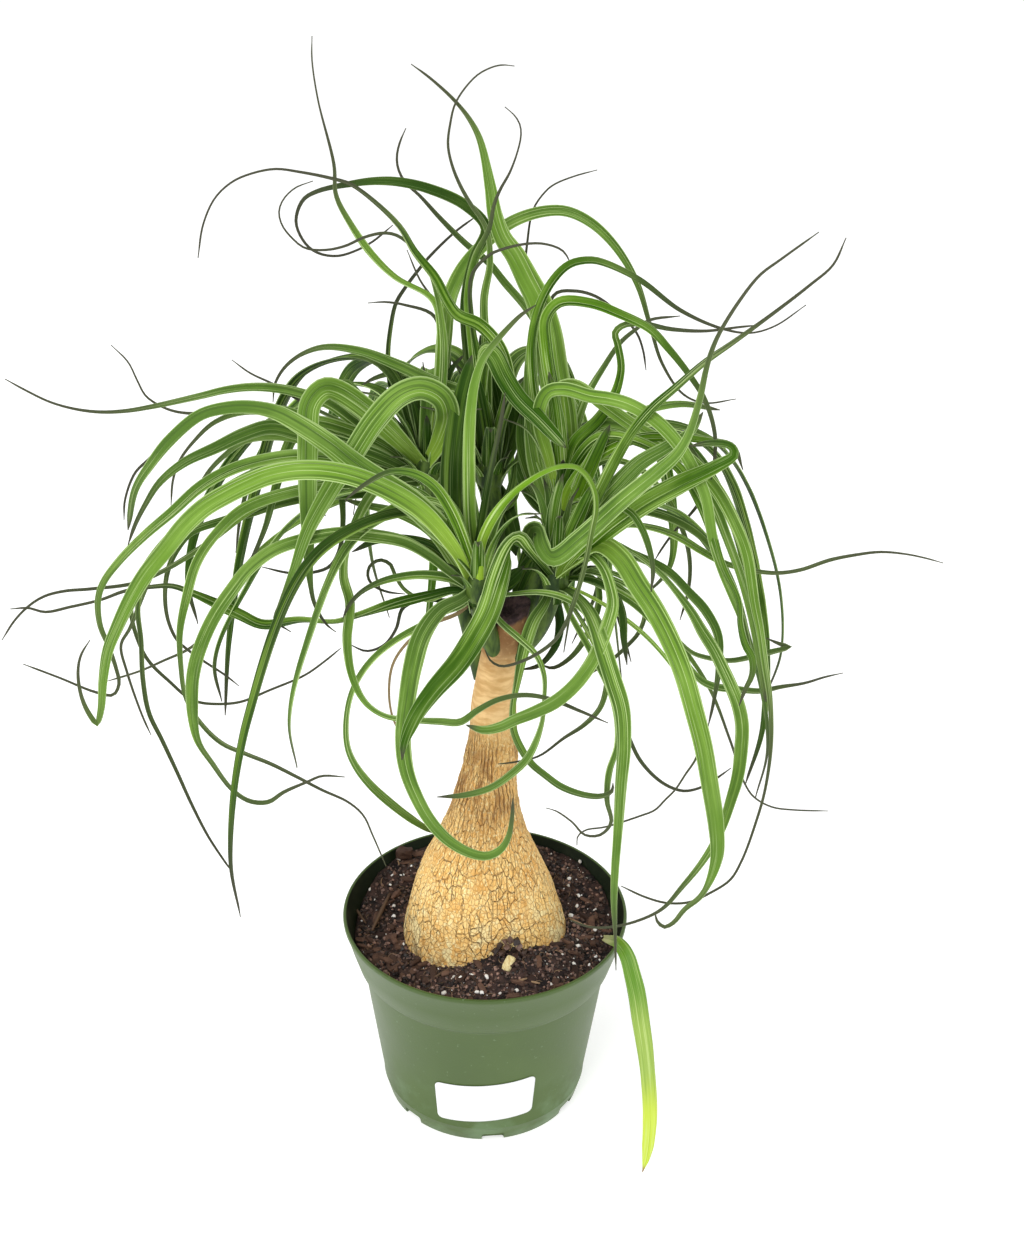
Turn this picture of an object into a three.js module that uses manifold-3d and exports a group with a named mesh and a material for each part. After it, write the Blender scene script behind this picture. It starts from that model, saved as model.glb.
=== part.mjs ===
// Ponytail palm in a round nursery pot: a swollen corky trunk cut off at the top, with five
// heads of long strap leaves that sprouted round the cut, in potting soil.
// Millimetres, +Z up. The origin is the centre of the pot's flat bottom; -Y is the front.
import * as THREE from "three";
import { mergeVertices } from "three/addons/utils/BufferGeometryUtils.js";
import Module from "manifold-3d";

const wasm = await Module();
wasm.setup();

// ---------------------------------------------------------------- driving dimensions
const GAP = 0.3; // between pieces that touch

const RIM_RADIUS = 76.2; // a six inch nursery pot
const POT_HEIGHT = 115;
const BAND_BOTTOM = 88; // the stiff band round the mouth
const BAND_BOTTOM_RADIUS = 69;
const WALL_TOP_RADIUS = 66;
const SEAM_HEIGHT = 10.6; // where the wall meets the foot ring
const SEAM_RADIUS = 56;
const FOOT_RADIUS = 53.5;
const WALL = 1.7;
const FLOOR = 2.2;
const NOTCH_COUNT = 7; // drain notches through the bottom corner
const NOTCH_WIDTH = 12;
const NOTCH_HEIGHT = 5;
const NOTCH_DEPTH = 7;
const FIRST_NOTCH = -83.5; // degrees round from +X

const POT_SIDES = 48;

const SOIL_LEVEL = 100; // at the sides of the pot
const BACK_RISE = 9.5; // the soil climbs this much towards the back
const HEAP = { x: 14, y: -36, high: 17, spread: 32 }; // soil heaped against the front of the trunk
const TRUNK_FOOT = 66; // the underside of the swollen base, down in the soil
const CUT_TILT = 0.32; // slope of the cut across the top of the trunk

const LABEL_THICK = 0.6;
const LABEL_TURN = [-114.5, -62.5]; // degrees round the pot, left edge to right edge
const LABEL_HEIGHTS = [17, 45]; // lower and upper edge at the middle of the label
const LABEL_LEAN = 4.6; // the label is stuck on askew: its right end is this much higher

const BLADE_THICK = 1.4; // from a blade's upper face to its keel
const THREAD_WIDTH = 1.3; // the dry tip of a leaf
const BLADE_STEP = 30; // length of one facet along a leaf
const CLEARANCE = 0.5; // kept between leaves of different heads
const STEM_RADIUS = 5.2;
const ROOT_SHARE = 0.45; // of a blade's full width at its root
const SLIVERS = [0.05, 0.04, 0.06, 0.03, 0.08]; // facets thinner than this are merged where leaves meet

// ---------------------------------------------------------------- solids
const solid = (geometry) => {
  const bare = geometry.clone();
  bare.deleteAttribute("normal");
  bare.deleteAttribute("uv");
  const merged = mergeVertices(bare, 1e-4);
  const mesh = new wasm.Mesh({
    numProp: 3,
    vertProperties: new Float32Array(merged.attributes.position.array),
    triVerts: new Uint32Array(merged.index.array),
  });
  return new wasm.Manifold(mesh);
};

// The largest body of a fused solid: loose scraps and sealed hollows are left behind.
const outerBody = (body) => body.decompose().sort((a, b) => b.volume() - a.volume())[0];

const geometryOf = (body) => {
  const { vertProperties, triVerts } = body.getMesh();
  const geometry = new THREE.BufferGeometry();
  geometry.setAttribute("position", new THREE.BufferAttribute(vertProperties, 3));
  geometry.setIndex(new THREE.BufferAttribute(triVerts, 1));
  const facets = geometry.toNonIndexed();
  facets.computeVertexNormals();
  return facets;
};

// A closed skin over rings of points that run up the +Z way, each ring anticlockwise from above.
const skin = (rings) => {
  const positions = [];
  const faces = [];
  rings.forEach((ring) => ring.forEach((p) => positions.push(p.x, p.y, p.z)));
  const sides = rings[0].length;
  for (let row = 0; row + 1 < rings.length; row++) {
    for (let i = 0; i < sides; i++) {
      const a = row * sides + i;
      const b = row * sides + ((i + 1) % sides);
      faces.push(a, b, b + sides, a, b + sides, a + sides);
    }
  }
  const capAt = (row, upwards) => {
    const middle = rings[row].reduce((sum, p) => sum.add(p), new THREE.Vector3());
    middle.divideScalar(sides);
    const centre = positions.length / 3;
    positions.push(middle.x, middle.y, middle.z);
    for (let i = 0; i < sides; i++) {
      const a = row * sides + i;
      const b = row * sides + ((i + 1) % sides);
      faces.push(...(upwards ? [centre, a, b] : [centre, b, a]));
    }
  };
  capAt(0, false);
  capAt(rings.length - 1, true);
  const geometry = new THREE.BufferGeometry();
  geometry.setAttribute("position", new THREE.Float32BufferAttribute(positions, 3));
  geometry.setIndex(faces);
  return geometry;
};

// The same draw of random numbers every time.
const randomFrom = (seed) => {
  let state = seed >>> 0;
  return () => {
    state = (state + 0x6d2b79f5) >>> 0;
    let mixed = Math.imul(state ^ (state >>> 15), 1 | state);
    mixed = (mixed + Math.imul(mixed ^ (mixed >>> 7), 61 | mixed)) ^ mixed;
    return ((mixed ^ (mixed >>> 14)) >>> 0) / 4294967296;
  };
};
const { clamp, lerp, smoothstep, degToRad } = THREE.MathUtils;

const plasticGreen = new THREE.MeshStandardMaterial({ color: 0x5c7d54, roughness: 0.45 });
const paperWhite = new THREE.MeshStandardMaterial({ color: 0xf4f5f5, roughness: 0.6 });
const darkSoil = new THREE.MeshStandardMaterial({ color: 0x3b2822, roughness: 0.95 });
const corkyBark = new THREE.MeshStandardMaterial({ color: 0xd6a868, roughness: 0.85 });
const paleWood = new THREE.MeshStandardMaterial({ color: 0xebd796, roughness: 0.8 });
const leafGreen = new THREE.MeshStandardMaterial({ color: 0x5a932f, roughness: 0.5 });
const limeGreen = new THREE.MeshStandardMaterial({ color: 0x9ccb3a, roughness: 0.5 });

const plant = new THREE.Group();
const place = (name, body, material) => {
  const mesh = new THREE.Mesh(geometryOf(body), material);
  mesh.name = name;
  plant.add(mesh);
};

// A solid of revolution about the plant's upright axis; its outline runs from the foot outwards.
const turned = (outline, sides) => {
  const points = outline.map(([r, z]) => new THREE.Vector2(r, z));
  return solid(new THREE.LatheGeometry(points, sides).rotateX(Math.PI / 2));
};

// ---------------------------------------------------------------- pot
// One moulding: foot, tapering wall, ledge and a flared band round the mouth.
const outerWall = [
  [0, 0], [FOOT_RADIUS, 0], [SEAM_RADIUS - 0.8, SEAM_HEIGHT - 0.8], [SEAM_RADIUS, SEAM_HEIGHT],
  [WALL_TOP_RADIUS, BAND_BOTTOM - 2], [BAND_BOTTOM_RADIUS, BAND_BOTTOM],
  [RIM_RADIUS, POT_HEIGHT - 1.2], [RIM_RADIUS - 0.5, POT_HEIGHT],
];
const innerWall = [
  [RIM_RADIUS - WALL + 0.3, POT_HEIGHT], [RIM_RADIUS - WALL - 0.3, POT_HEIGHT - 1.2],
  [BAND_BOTTOM_RADIUS - WALL, BAND_BOTTOM], [WALL_TOP_RADIUS - WALL, BAND_BOTTOM - 2],
  [SEAM_RADIUS - WALL, SEAM_HEIGHT], [FOOT_RADIUS - WALL, FLOOR], [0, FLOOR],
];
let pot = turned([...outerWall, ...innerWall], POT_SIDES);
for (let i = 0; i < NOTCH_COUNT; i++) {
  const notch = new THREE.BoxGeometry(NOTCH_DEPTH, NOTCH_WIDTH, NOTCH_HEIGHT + 1)
    .translate(FOOT_RADIUS + 0.5, 0, (NOTCH_HEIGHT - 1) / 2)
    .rotateZ(degToRad(FIRST_NOTCH + (360 / NOTCH_COUNT) * i));
  pot = pot.subtract(solid(notch));
}
place("pot", pot, plasticGreen);

// ---------------------------------------------------------------- label
// A blank paper sticker bent round the lower front of the wall, with round corners.
const wallRadius = (z) =>
  lerp(SEAM_RADIUS, WALL_TOP_RADIUS, (z - SEAM_HEIGHT) / (BAND_BOTTOM - 2 - SEAM_HEIGHT));
const CORNER_SHARE = 0.055; // of the label's length taken up by a round corner
const CORNER_DROP = 0.2; // of its half height lost at the very end
const labelOutline = (along) => {
  const near = Math.max(0, CORNER_SHARE - Math.min(along, 1 - along)) / CORNER_SHARE;
  return 1 - CORNER_DROP * (1 - Math.sqrt(1 - near * near));
};
const labelRings = [];
const LABEL_STEPS = 18; // set closer together towards the corners
for (let i = 0; i <= LABEL_STEPS; i++) {
  const eased = (1 - Math.cos((Math.PI * i) / LABEL_STEPS)) / 2;
  const across = lerp(0.002, 0.998, lerp(i / LABEL_STEPS, eased, 0.6));
  const turn = degToRad(lerp(LABEL_TURN[0], LABEL_TURN[1], across));
  const middle = (LABEL_HEIGHTS[0] + LABEL_HEIGHTS[1]) / 2 + LABEL_LEAN * (across - 0.5);
  const half = ((LABEL_HEIGHTS[1] - LABEL_HEIGHTS[0]) / 2) * labelOutline(across);
  const at = (z, lift) => {
    const r = wallRadius(z) + GAP + 0.15 + lift;
    return new THREE.Vector3(r * Math.cos(turn), r * Math.sin(turn), z);
  };
  labelRings.push([
    at(middle + half, 0), at(middle + half, LABEL_THICK),
    at(middle - half, LABEL_THICK), at(middle - half, 0),
  ]);
}
place("label", solid(skin(labelRings)), paperWhite);

// ---------------------------------------------------------------- trunk
// A swollen base under corky plates, narrowing to a smooth stem with a slanting cut on top.
const trunkShape = [
  // height, radius, sideways drift of the axis
  [TRUNK_FOOT, 22, 0], [74, 36, 0], [84, 43, 0], [94, 45, 0], [108, 43, 0], [128, 37.8, -1],
  [145, 32.1, -1.8], [158, 26, -1.5], [171, 20.7, -1.1], [184, 17.2, -0.4], [197, 15.2, 0.3],
  [218, 12.7, 3.3], [245, 11.3, 3.4], [262, 10.2, 5.2], [280, 9.6, 7.7], [298, 9, 12.4],
];
const trunkAt = (z, column) => {
  const next = Math.max(1, trunkShape.findIndex(([height]) => height >= z));
  const [low, high] = [trunkShape[next - 1], trunkShape[next]];
  return lerp(low[column], high[column], clamp((z - low[0]) / (high[0] - low[0]), 0, 1));
};
const TRUNK_SIDES = 26;
const TRUNK_TOP = trunkShape[trunkShape.length - 1][0];
const PLATE_SIZE = 10; // corky plates of the base
const PLATES_ROUND = 21;
const PLATE_RELIEF = 0.7; // the most that a plate stands out
const TILT_START = 262; // above here the rings lean over to meet the slanting cut
const plateRelief = (turn, z) => {
  const fade = smoothstep(z, TRUNK_FOOT + 20, TRUNK_FOOT + 34) * (1 - smoothstep(z, 205, 235));
  const course = Math.floor(z / PLATE_SIZE);
  const upright = Math.sin(turn * PLATES_ROUND + course * 2.4);
  const level = Math.sin((z / PLATE_SIZE) * Math.PI * 2 + Math.sin(turn * 5) * 1.3);
  return fade * (0.5 * upright + 0.3 * level);
};
const trunkRings = (swell, relief) => {
  const rings = [];
  const heights = [];
  for (let z = TRUNK_FOOT; z < 90; z += 8) heights.push(z);
  for (let z = 90; z < 230; z += 7) heights.push(z);
  for (let z = 232; z < TRUNK_TOP; z += 13) heights.push(z);
  heights.push(TRUNK_TOP);
  for (const z of heights) {
    const radius = trunkAt(z, 1) + swell;
    const drift = trunkAt(z, 2);
    const tilt = CUT_TILT * smoothstep(z, TILT_START, TRUNK_TOP);
    rings.push(
      Array.from({ length: TRUNK_SIDES }, (_, i) => {
        const turn = (i / TRUNK_SIDES) * Math.PI * 2;
        const r = radius + relief * plateRelief(turn, z);
        const x = r * Math.cos(turn);
        const y = r * Math.sin(turn);
        return new THREE.Vector3(x + drift, y, z + tilt * (x + 0.6 * y));
      }),
    );
  }
  rings[0].forEach((p) => (p.z -= swell));
  rings[rings.length - 1].forEach((p) => (p.z += swell));
  return rings;
};
const trunk = solid(skin(trunkRings(0, 1)));
const roomForTrunk = solid(skin(trunkRings(GAP + PLATE_RELIEF, 0)));
place("trunk", trunk, corkyBark);

// ---------------------------------------------------------------- soil
// Potting soil with bark chips standing in it, and a plain hole where the trunk goes down.
const chance = randomFrom(41);
const SOIL_SIDES = 30;
const SOIL_INSET = WALL + GAP + 0.2; // from the pot's outer face to the soil
const SOIL_RADIUS = 70; // of its surface, roughly
const bed = (x, y) => {
  const away = ((x - HEAP.x) ** 2 + (y - HEAP.y) ** 2) / HEAP.spread ** 2;
  const r = Math.hypot(x, y);
  const turn = Math.atan2(y, x);
  const ripple = 0.7 * Math.sin(turn * 7 + r / 6) * Math.sin(r / 4 + turn * 3);
  return SOIL_LEVEL + BACK_RISE * smoothstep(y, 0, 55) + HEAP.high * Math.exp(-away) + ripple;
};
const soilRing = (radiusAt, heightAt) =>
  Array.from({ length: SOIL_SIDES }, (_, i) => {
    const turn = (i / SOIL_SIDES) * Math.PI * 2;
    const [x, y] = [Math.cos(turn), Math.sin(turn)];
    const z = heightAt(x, y);
    const r = radiusAt(z);
    return new THREE.Vector3(r * x, r * y, z);
  });
const soilRings = [
  [FOOT_RADIUS - SOIL_INSET, FLOOR + GAP],
  [SEAM_RADIUS - SOIL_INSET, SEAM_HEIGHT],
  [WALL_TOP_RADIUS - SOIL_INSET, BAND_BOTTOM - 2],
  [BAND_BOTTOM_RADIUS - SOIL_INSET, BAND_BOTTOM + GAP],
].map(([r, z]) => soilRing(() => r, () => z));
const mouthSlope = (RIM_RADIUS - BAND_BOTTOM_RADIUS) / (POT_HEIGHT - BAND_BOTTOM);
const besideWall = (z) => BAND_BOTTOM_RADIUS - SOIL_INSET + mouthSlope * (z - BAND_BOTTOM) - 0.2;
for (let r = SOIL_RADIUS; r > 34; r -= 7) {
  const radiusAt = r === SOIL_RADIUS ? besideWall : () => r;
  soilRings.push(soilRing(radiusAt, (x, y) => bed(r * x, r * y) + 0.8 * (chance() - 0.5)));
}
let soil = solid(skin(soilRings));
const CHIP_COUNT = 14;
for (let i = 0; i < CHIP_COUNT; i++) {
  const turn = chance() * Math.PI * 2;
  const r = lerp(50, 61, chance());
  const [x, y] = [r * Math.cos(turn), r * Math.sin(turn)];
  const long = lerp(6, 13, chance());
  const chip = new THREE.BoxGeometry(long, lerp(2.5, 5, chance()), 3)
    .rotateY((chance() - 0.5) * 0.5)
    .rotateZ(chance() * Math.PI)
    .translate(x, y, bed(x, y) + 0.4);
  soil = soil.add(solid(chip));
}
soil = soil.subtract(roomForTrunk);

// A pale wood chip stuck slantwise in the soil in front of the trunk.
const CHIP_SIZE = [6, 9, 2.6];
const chipSpot = new THREE.Vector3(13, -48, 0);
chipSpot.z = bed(chipSpot.x, chipSpot.y) + 2.2;
const chipBlock = (grow) =>
  solid(
    new THREE.BoxGeometry(...CHIP_SIZE.map((size) => size + grow))
      .rotateX(0.7)
      .rotateZ(-0.6)
      .translate(chipSpot.x, chipSpot.y, chipSpot.z),
  );
soil = soil.subtract(chipBlock(2 * GAP));
soil = outerBody(soil);
place("soil", soil, darkSoil);
place("wood_chip", chipBlock(0), paleWood);

// ---------------------------------------------------------------- leaves
// Each leaf's middle line is written as it is seen from one spot in front of the plant and a
// little above it: across and down in a picture 1024 wide and 1241 high, with how far the leaf
// lies behind the pot's axis (mm) wherever that changes. Each also has the widths it shows from
// there, root to tip, in the picture's units: where a leaf shows less than its full width it is
// turned edge on.
const EYE = new THREE.Vector3(12, -780, 709);
const LOOK_DOWN = degToRad(28.2);
const EYE_LEAN = degToRad(0.9);
const EYE_LENGTH = 1800; // the picture's distance, in its own units
const PICTURE_CENTRE = [512, 620.5];

const forward = new THREE.Vector3(0, Math.cos(LOOK_DOWN), -Math.sin(LOOK_DOWN));
const level = new THREE.Vector3(1, 0, 0);
const upright = new THREE.Vector3(0, Math.sin(LOOK_DOWN), Math.cos(LOOK_DOWN));
const across = level
  .clone()
  .multiplyScalar(Math.cos(EYE_LEAN))
  .addScaledVector(upright, Math.sin(EYE_LEAN));
const upwards = upright
  .clone()
  .multiplyScalar(Math.cos(EYE_LEAN))
  .addScaledVector(level, -Math.sin(EYE_LEAN));
const seen = (x, y, depth) => {
  const sight = forward
    .clone()
    .addScaledVector(across, (x - PICTURE_CENTRE[0]) / EYE_LENGTH)
    .addScaledVector(upwards, (PICTURE_CENTRE[1] - y) / EYE_LENGTH);
  return EYE.clone().addScaledVector(sight, (depth - EYE.y) / sight.y);
};

// Each head: where its crown shows, how deep it stands, and the way its stem leaves the trunk.
const heads = {
  front_left: { crown: [478, 590, -15], stem: [[7, -3, 270], [-1, -9, 292]] },
  right: { crown: [556, 582, -5], stem: [[9, -1, 268], [24, -4, 288]] },
  back_left: { crown: [428, 474, 35], stem: [[-2, 4, 256], [-12, 17, 292], [-23, 29, 330]] },
  back_right: { crown: [560, 520, 25], stem: [[13, 4, 284], [25, 17, 304]] },
  back_centre: { crown: [490, 478, 40], stem: [[7, 6, 274], [5, 23, 302]] },
};

// name, head, widths shown from root to tip, and the middle line as [across, down, depth]
const leaves = [
  ["spire", "back_left", [12, 14, 12, 4, 8, 4, 2, 1.5],
    [[436, 430], [441, 380], [441, 330, 45], [432, 300], [395, 278], [372, 255], [350, 223], [336, 195],
     [334, 165], [318, 100], [312, 60], [312, 36, 70]]],
  ["long sickle", "back_centre", [14, 15, 13, 13, 10, 6, 4, 2.5, 2, 2],
    [[499, 430], [509, 390], [501, 350], [480, 325, 25], [458, 315], [447, 300], [435, 277], [415, 252],
     [400, 227], [375, 202, 5], [350, 184], [330, 178], [300, 172], [275, 169], [250, 174], [232, 182],
     [215, 198], [203, 225], [198, 258, -15]]],
  ["hooked ribbon", "back_centre", [14, 12, 10, 9, 11, 11, 9, 5, 3, 2.5, 2],
    [[478, 420], [468, 350], [466, 300], [475, 257, 60], [486, 228], [465, 205], [430, 189], [400, 182],
     [375, 181], [350, 184], [318, 191], [303, 200, 75], [296, 222], [305, 243], [318, 253], [337, 256],
     [355, 251], [372, 242], [393, 225, 90]]],
  ["top ringlet", "back_left", [10, 9, 7, 4, 3, 2, 1.5],
    [[438, 420], [444, 350], [438, 300], [425, 262, 30], [400, 237], [385, 233], [365, 237], [345, 246],
     [325, 250], [305, 248], [292, 238], [282, 225, 15], [279, 212], [283, 200], [295, 188], [313, 181, 10]]],
  ["high arch", "back_right", [14, 13, 10, 8, 8, 6, 3, 2],
    [[562, 430], [552, 370], [540, 330], [524, 305, 75], [505, 283], [488, 262], [465, 243], [440, 218],
     [420, 196, 95], [405, 182], [398, 168], [397, 155], [400, 142], [406, 128, 105]]],
  ["broad riser", "back_right", [20, 26, 32, 30, 24, 17, 9, 4, 2],
    [[566, 480], [563, 440], [560, 410], [553, 370], [547, 330, 50], [538, 300], [528, 280], [515, 255],
     [503, 238], [495, 215], [490, 185, 65], [480, 140], [470, 120], [455, 101], [430, 78], [411, 64, 60]]],
  ["plume", "back_centre", [12, 10, 9, 8, 5, 3, 2, 1.5],
    [[488, 430], [487, 360], [484, 300], [490, 262, 45], [486, 228], [470, 203], [460, 185], [452, 165],
     [448, 145], [450, 125, 55], [456, 102], [475, 77], [490, 68], [502, 65], [514, 66, 75]]],
  ["swan neck", "back_centre", [12, 12, 10, 9, 7, 4, 2, 1.5],
    [[482, 420], [472, 340], [468, 296, 35], [475, 257], [489, 229], [494, 205], [500, 190], [510, 172, 30],
     [518, 150], [521, 135], [520, 125], [515, 116], [505, 107, 25]]],
  ["top wisp", "back_right", [10, 8, 5, 3, 2, 1.5],
    [[556, 440], [545, 370], [530, 310], [525, 270, 90], [527, 245], [533, 210], [545, 192], [555, 184],
     [575, 176], [597, 170, 120]]],
  ["great arch", "back_left", [14, 16, 16, 14, 12, 10, 7, 4, 2.5, 1.5],
    [[434, 440], [440, 390], [444, 340], [449, 300, 60], [462, 270], [485, 243], [510, 223], [540, 212, 95],
     [565, 211], [590, 222], [615, 246], [637, 283], [650, 325, 110], [662, 363], [683, 394], [705, 403],
     [736, 399, 125]]],
  ["thin arch", "back_centre", [10, 8, 5, 3, 2],
    [[484, 390], [472, 320], [472, 275, 30], [488, 256], [500, 250], [525, 244, 20], [545, 244], [563, 251],
     [572, 266, 15]]],
  ["backswept wisp", "back_left", [8, 6, 5, 4, 3, 2],
    [[412, 435], [394, 400], [388, 360], [391, 325, 80], [396, 303], [405, 288], [420, 268], [431, 255],
     [455, 232], [478, 215, 120]]],
  ["side wisp", "back_left", [8, 6, 4, 1.5],
    [[438, 400], [442, 350], [434, 316, 55], [405, 305], [385, 302], [368, 303, 60]]],
  ["hair off the spire", "back_left", [6, 4, 3, 1.5],
    [[446, 410], [449, 350], [440, 310, 65], [420, 280], [407, 250, 80]]],
  ["right fountain", "back_right", [10, 10, 9, 9, 9, 8, 6, 4, 2, 1.5],
    [[545, 450], [535, 400], [531, 350], [538, 310, 15], [553, 280], [570, 264], [590, 260], [605, 263],
     [640, 280, 5], [680, 310], [720, 328], [750, 333], [775, 326], [806, 305, 0]]],
  ["right cascade", "back_right", [12, 11, 12, 12, 10, 8, 5, 3],
    [[560, 450], [555, 400], [547, 350], [546, 318], [560, 302, 5], [590, 303], [620, 314], [650, 329],
     [668, 348], [688, 373, -20], [705, 400], [715, 435], [714, 465], [711, 480, -35]]],
  ["right wisp", "back_right", [8, 6, 4, 3, 2],
    [[556, 450], [551, 400], [545, 330], [555, 294, 75], [575, 291], [595, 296], [615, 310], [636, 332],
     [643, 350], [646, 370, 95]]],
  ["folded ribbon", "back_right", [16, 14, 14, 12, 8, 7, 5, 3, 2],
    [[566, 475], [575, 443], [598, 420], [613, 398, 10], [621, 370], [618, 346], [615, 333], [624, 325],
     [645, 324], [670, 329, -5], [705, 331], [740, 327], [760, 325, -10]]],
  ["right quill", "back_right", [10, 10, 9, 6, 4, 2],
    [[568, 460], [585, 400], [605, 365, 55], [620, 343], [635, 330], [650, 320], [680, 316, 80]]],
  ["long right quill", "right", [14, 14, 12, 12, 10, 8, 6, 4, 3, 2],
    [[575, 545], [600, 490], [615, 460], [632, 432], [652, 408], [675, 388, -30], [705, 362], [735, 341],
     [775, 312], [810, 285], [833, 265], [846, 238, -45]]],
  ["broad right ribbon", "right", [14, 16, 18, 19, 18, 15, 8, 6, 4, 3, 2],
    [[541, 560, 0], [530, 543, 0], [530, 530, -5], [539, 529, -12], [543, 545, -22], [553, 557, -30],
     [580, 538], [619, 503, -48], [657, 472], [677, 454], [688, 436], [700, 398, -60], [706, 370], [712, 350],
     [720, 332], [740, 300], [760, 275], [780, 260], [819, 232, -80]]],
  ["right shawl", "back_right", [10, 12, 14, 14, 14, 14, 12, 10, 8, 5],
    [[550, 460], [539, 415], [548, 392, 5], [565, 389], [590, 396], [610, 399], [630, 405, -20], [655, 420],
     [675, 440], [690, 463], [705, 495, -42], [713, 540], [722, 570], [730, 590], [742, 620], [748, 645],
     [752, 665, -62]]],
  ["long hanging right leaf", "back_right", [10, 10, 12, 14, 14, 12, 8, 5, 3, 2.5, 2.5, 2],
    [[562, 440], [560, 385], [575, 383, 15], [605, 405], [645, 433], [668, 445], [695, 465, -12], [718, 492],
     [738, 530], [747, 555], [755, 605], [760, 630], [765, 665, -35], [770, 700], [771, 745], [765, 790],
     [755, 825], [742, 860], [730, 880], [710, 893], [690, 902], [667, 903], [645, 897], [621, 886, -45]]],
  ["hanging right leaf", "back_right", [10, 12, 12, 12, 9, 7, 5],
    [[570, 460], [600, 424], [640, 432], [690, 460, 8], [712, 500], [728, 540], [742, 580], [752, 620],
     [760, 665, -8], [766, 702, -12]]],
  ["pinched right leaf", "back_right", [10, 12, 12, 10, 10, 12, 8, 4, 8, 3],
    [[572, 470], [600, 438], [640, 443], [676, 466, -15], [702, 505], [723, 568, -50], [738, 600], [740, 625],
     [745, 645], [752, 658], [752, 675], [745, 690], [739, 706, -70]]],
  ["centre riser", "front_left", [14, 13, 13, 13, 12, 9, 6, 3],
    [[471, 530], [469, 470], [470, 420, -8], [475, 382], [483, 359], [493, 345], [506, 330], [521, 315],
     [536, 305, 0]]],
  ["centre sliver", "front_left", [13, 9, 6, 3],
    [[480, 536], [487, 490], [493, 459, -20], [501, 421], [505, 393, -22]]],
  ["centre fold", "back_centre", [14, 12, 12, 18, 20, 18, 10],
    [[478, 430], [478, 385], [484, 352, 15], [494, 356, 5], [505, 378], [518, 398, -2], [541, 421],
     [566, 448, -12]]],
  ["dark riser", "front_left", [20, 24, 25, 18, 8],
    [[466, 560], [455, 530, 0], [452, 470], [460, 400, 12], [472, 355, 15]]],
  ["centre blade", "back_centre", [16, 20, 16, 8],
    [[486, 440], [480, 400, 30], [474, 372, 28]]],
  ["centre blade behind", "back_centre", [16, 20, 16, 8],
    [[500, 440], [496, 400, 52], [486, 360], [480, 335, 60]]],
  ["broad blade behind", "back_right", [18, 20, 20, 16, 10, 5],
    [[552, 480], [538, 440], [532, 400], [531, 360, 42], [534, 330], [546, 298, 50]]],
  ["upper left drape", "back_centre", [10, 12, 12, 12, 8, 4, 2],
    [[490, 430], [482, 402], [464, 392], [435, 382, 42], [400, 366], [360, 351], [325, 347], [302, 354, 45],
     [285, 367], [275, 384], [273, 402, 45]]],
  ["short left leaf", "back_left", [10, 10, 8, 3],
    [[438, 430], [436, 392], [420, 377, 50], [395, 373], [375, 378], [362, 385, 55]]],
  ["left nib", "back_left", [14, 14, 14, 12, 8, 4],
    [[402, 447], [385, 430], [370, 412, 18], [357, 393], [345, 382], [336, 388], [330, 400, 8]]],
  ["left strap", "back_left", [16, 21, 23, 23, 22, 19, 13, 5, 2],
    [[400, 440], [360, 405, 15], [335, 390], [322, 390], [310, 405], [308, 440], [308, 520, -15], [310, 580],
     [315, 605], [327, 625], [336, 632, -20]]],
  ["broad left strap", "back_left", [18, 22, 24, 24, 24, 22, 18, 12, 6, 2],
    [[441, 440, 20], [448, 415], [440, 396, -5], [420, 388], [398, 396], [375, 420], [352, 455, -35],
     [330, 490], [308, 530], [293, 572], [280, 605], [275, 620], [291, 632, -50]]],
  ["broad left arch", "front_left", [18, 22, 26, 26, 24, 20, 14, 12, 12, 8, 5],
    [[466, 560], [440, 530], [415, 505], [385, 485, -32], [355, 465], [330, 445], [300, 425], [275, 412],
     [250, 407, -40], [225, 408], [200, 415], [170, 440], [150, 465], [135, 490], [128, 530, -40]]],
  ["left curler", "back_left", [14, 12, 10, 8, 5, 3, 2, 1.5],
    [[385, 455], [355, 442], [320, 424], [285, 410, 30], [250, 408], [205, 413], [185, 413], [170, 410],
     [155, 403], [145, 395], [137, 380], [128, 362], [111, 345, 50]]],
  ["far left whip", "back_left", [12, 12, 12, 10, 8, 6, 4, 2.5, 2],
    [[380, 440], [355, 422], [330, 404], [300, 393, 25], [275, 388], [250, 387], [225, 390], [200, 396],
     [150, 407, 20], [125, 411], [100, 412], [75, 409], [50, 402], [25, 390], [5, 379, 15]]],
  ["left quill", "back_left", [8, 5, 3, 1.5],
    [[400, 445], [350, 425], [302, 402, 75], [275, 385], [250, 373], [232, 360, 95]]],
  ["dark left hanger", "back_left", [10, 8, 6, 4, 3, 2],
    [[380, 450], [330, 425], [280, 408, 65], [225, 410], [180, 427], [150, 458], [135, 473], [125, 500],
     [124, 520, 75]]],
  ["left droop", "back_left", [10, 10, 8, 6, 3, 2],
    [[380, 455], [330, 432], [290, 416, 48], [245, 412], [215, 422], [195, 440], [180, 460], [173, 480],
     [171, 505, 50]]],
  ["left sash", "back_left", [16, 16, 16, 16, 14, 10, 6, 3],
    [[390, 462], [350, 447], [300, 433, 5], [270, 427], [245, 434], [215, 448], [185, 462, -12], [160, 482],
     [145, 505], [135, 525], [128, 545, -25]]],
  ["left under sash", "back_left", [12, 10, 8, 6, 3],
    [[395, 470], [350, 455], [300, 440, 18], [275, 437], [245, 441], [225, 455], [210, 470], [200, 485],
     [190, 500, 10]]],
  ["left long sickle", "back_left", [14, 14, 12, 12, 12, 10, 8, 6, 4, 2.5, 2],
    [[395, 478], [350, 462], [300, 455, -2], [262, 460], [230, 470], [200, 487], [172, 512, -20], [145, 535],
     [120, 560], [103, 583], [98, 600], [100, 625], [108, 645], [116, 668], [119, 684], [113, 695],
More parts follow.
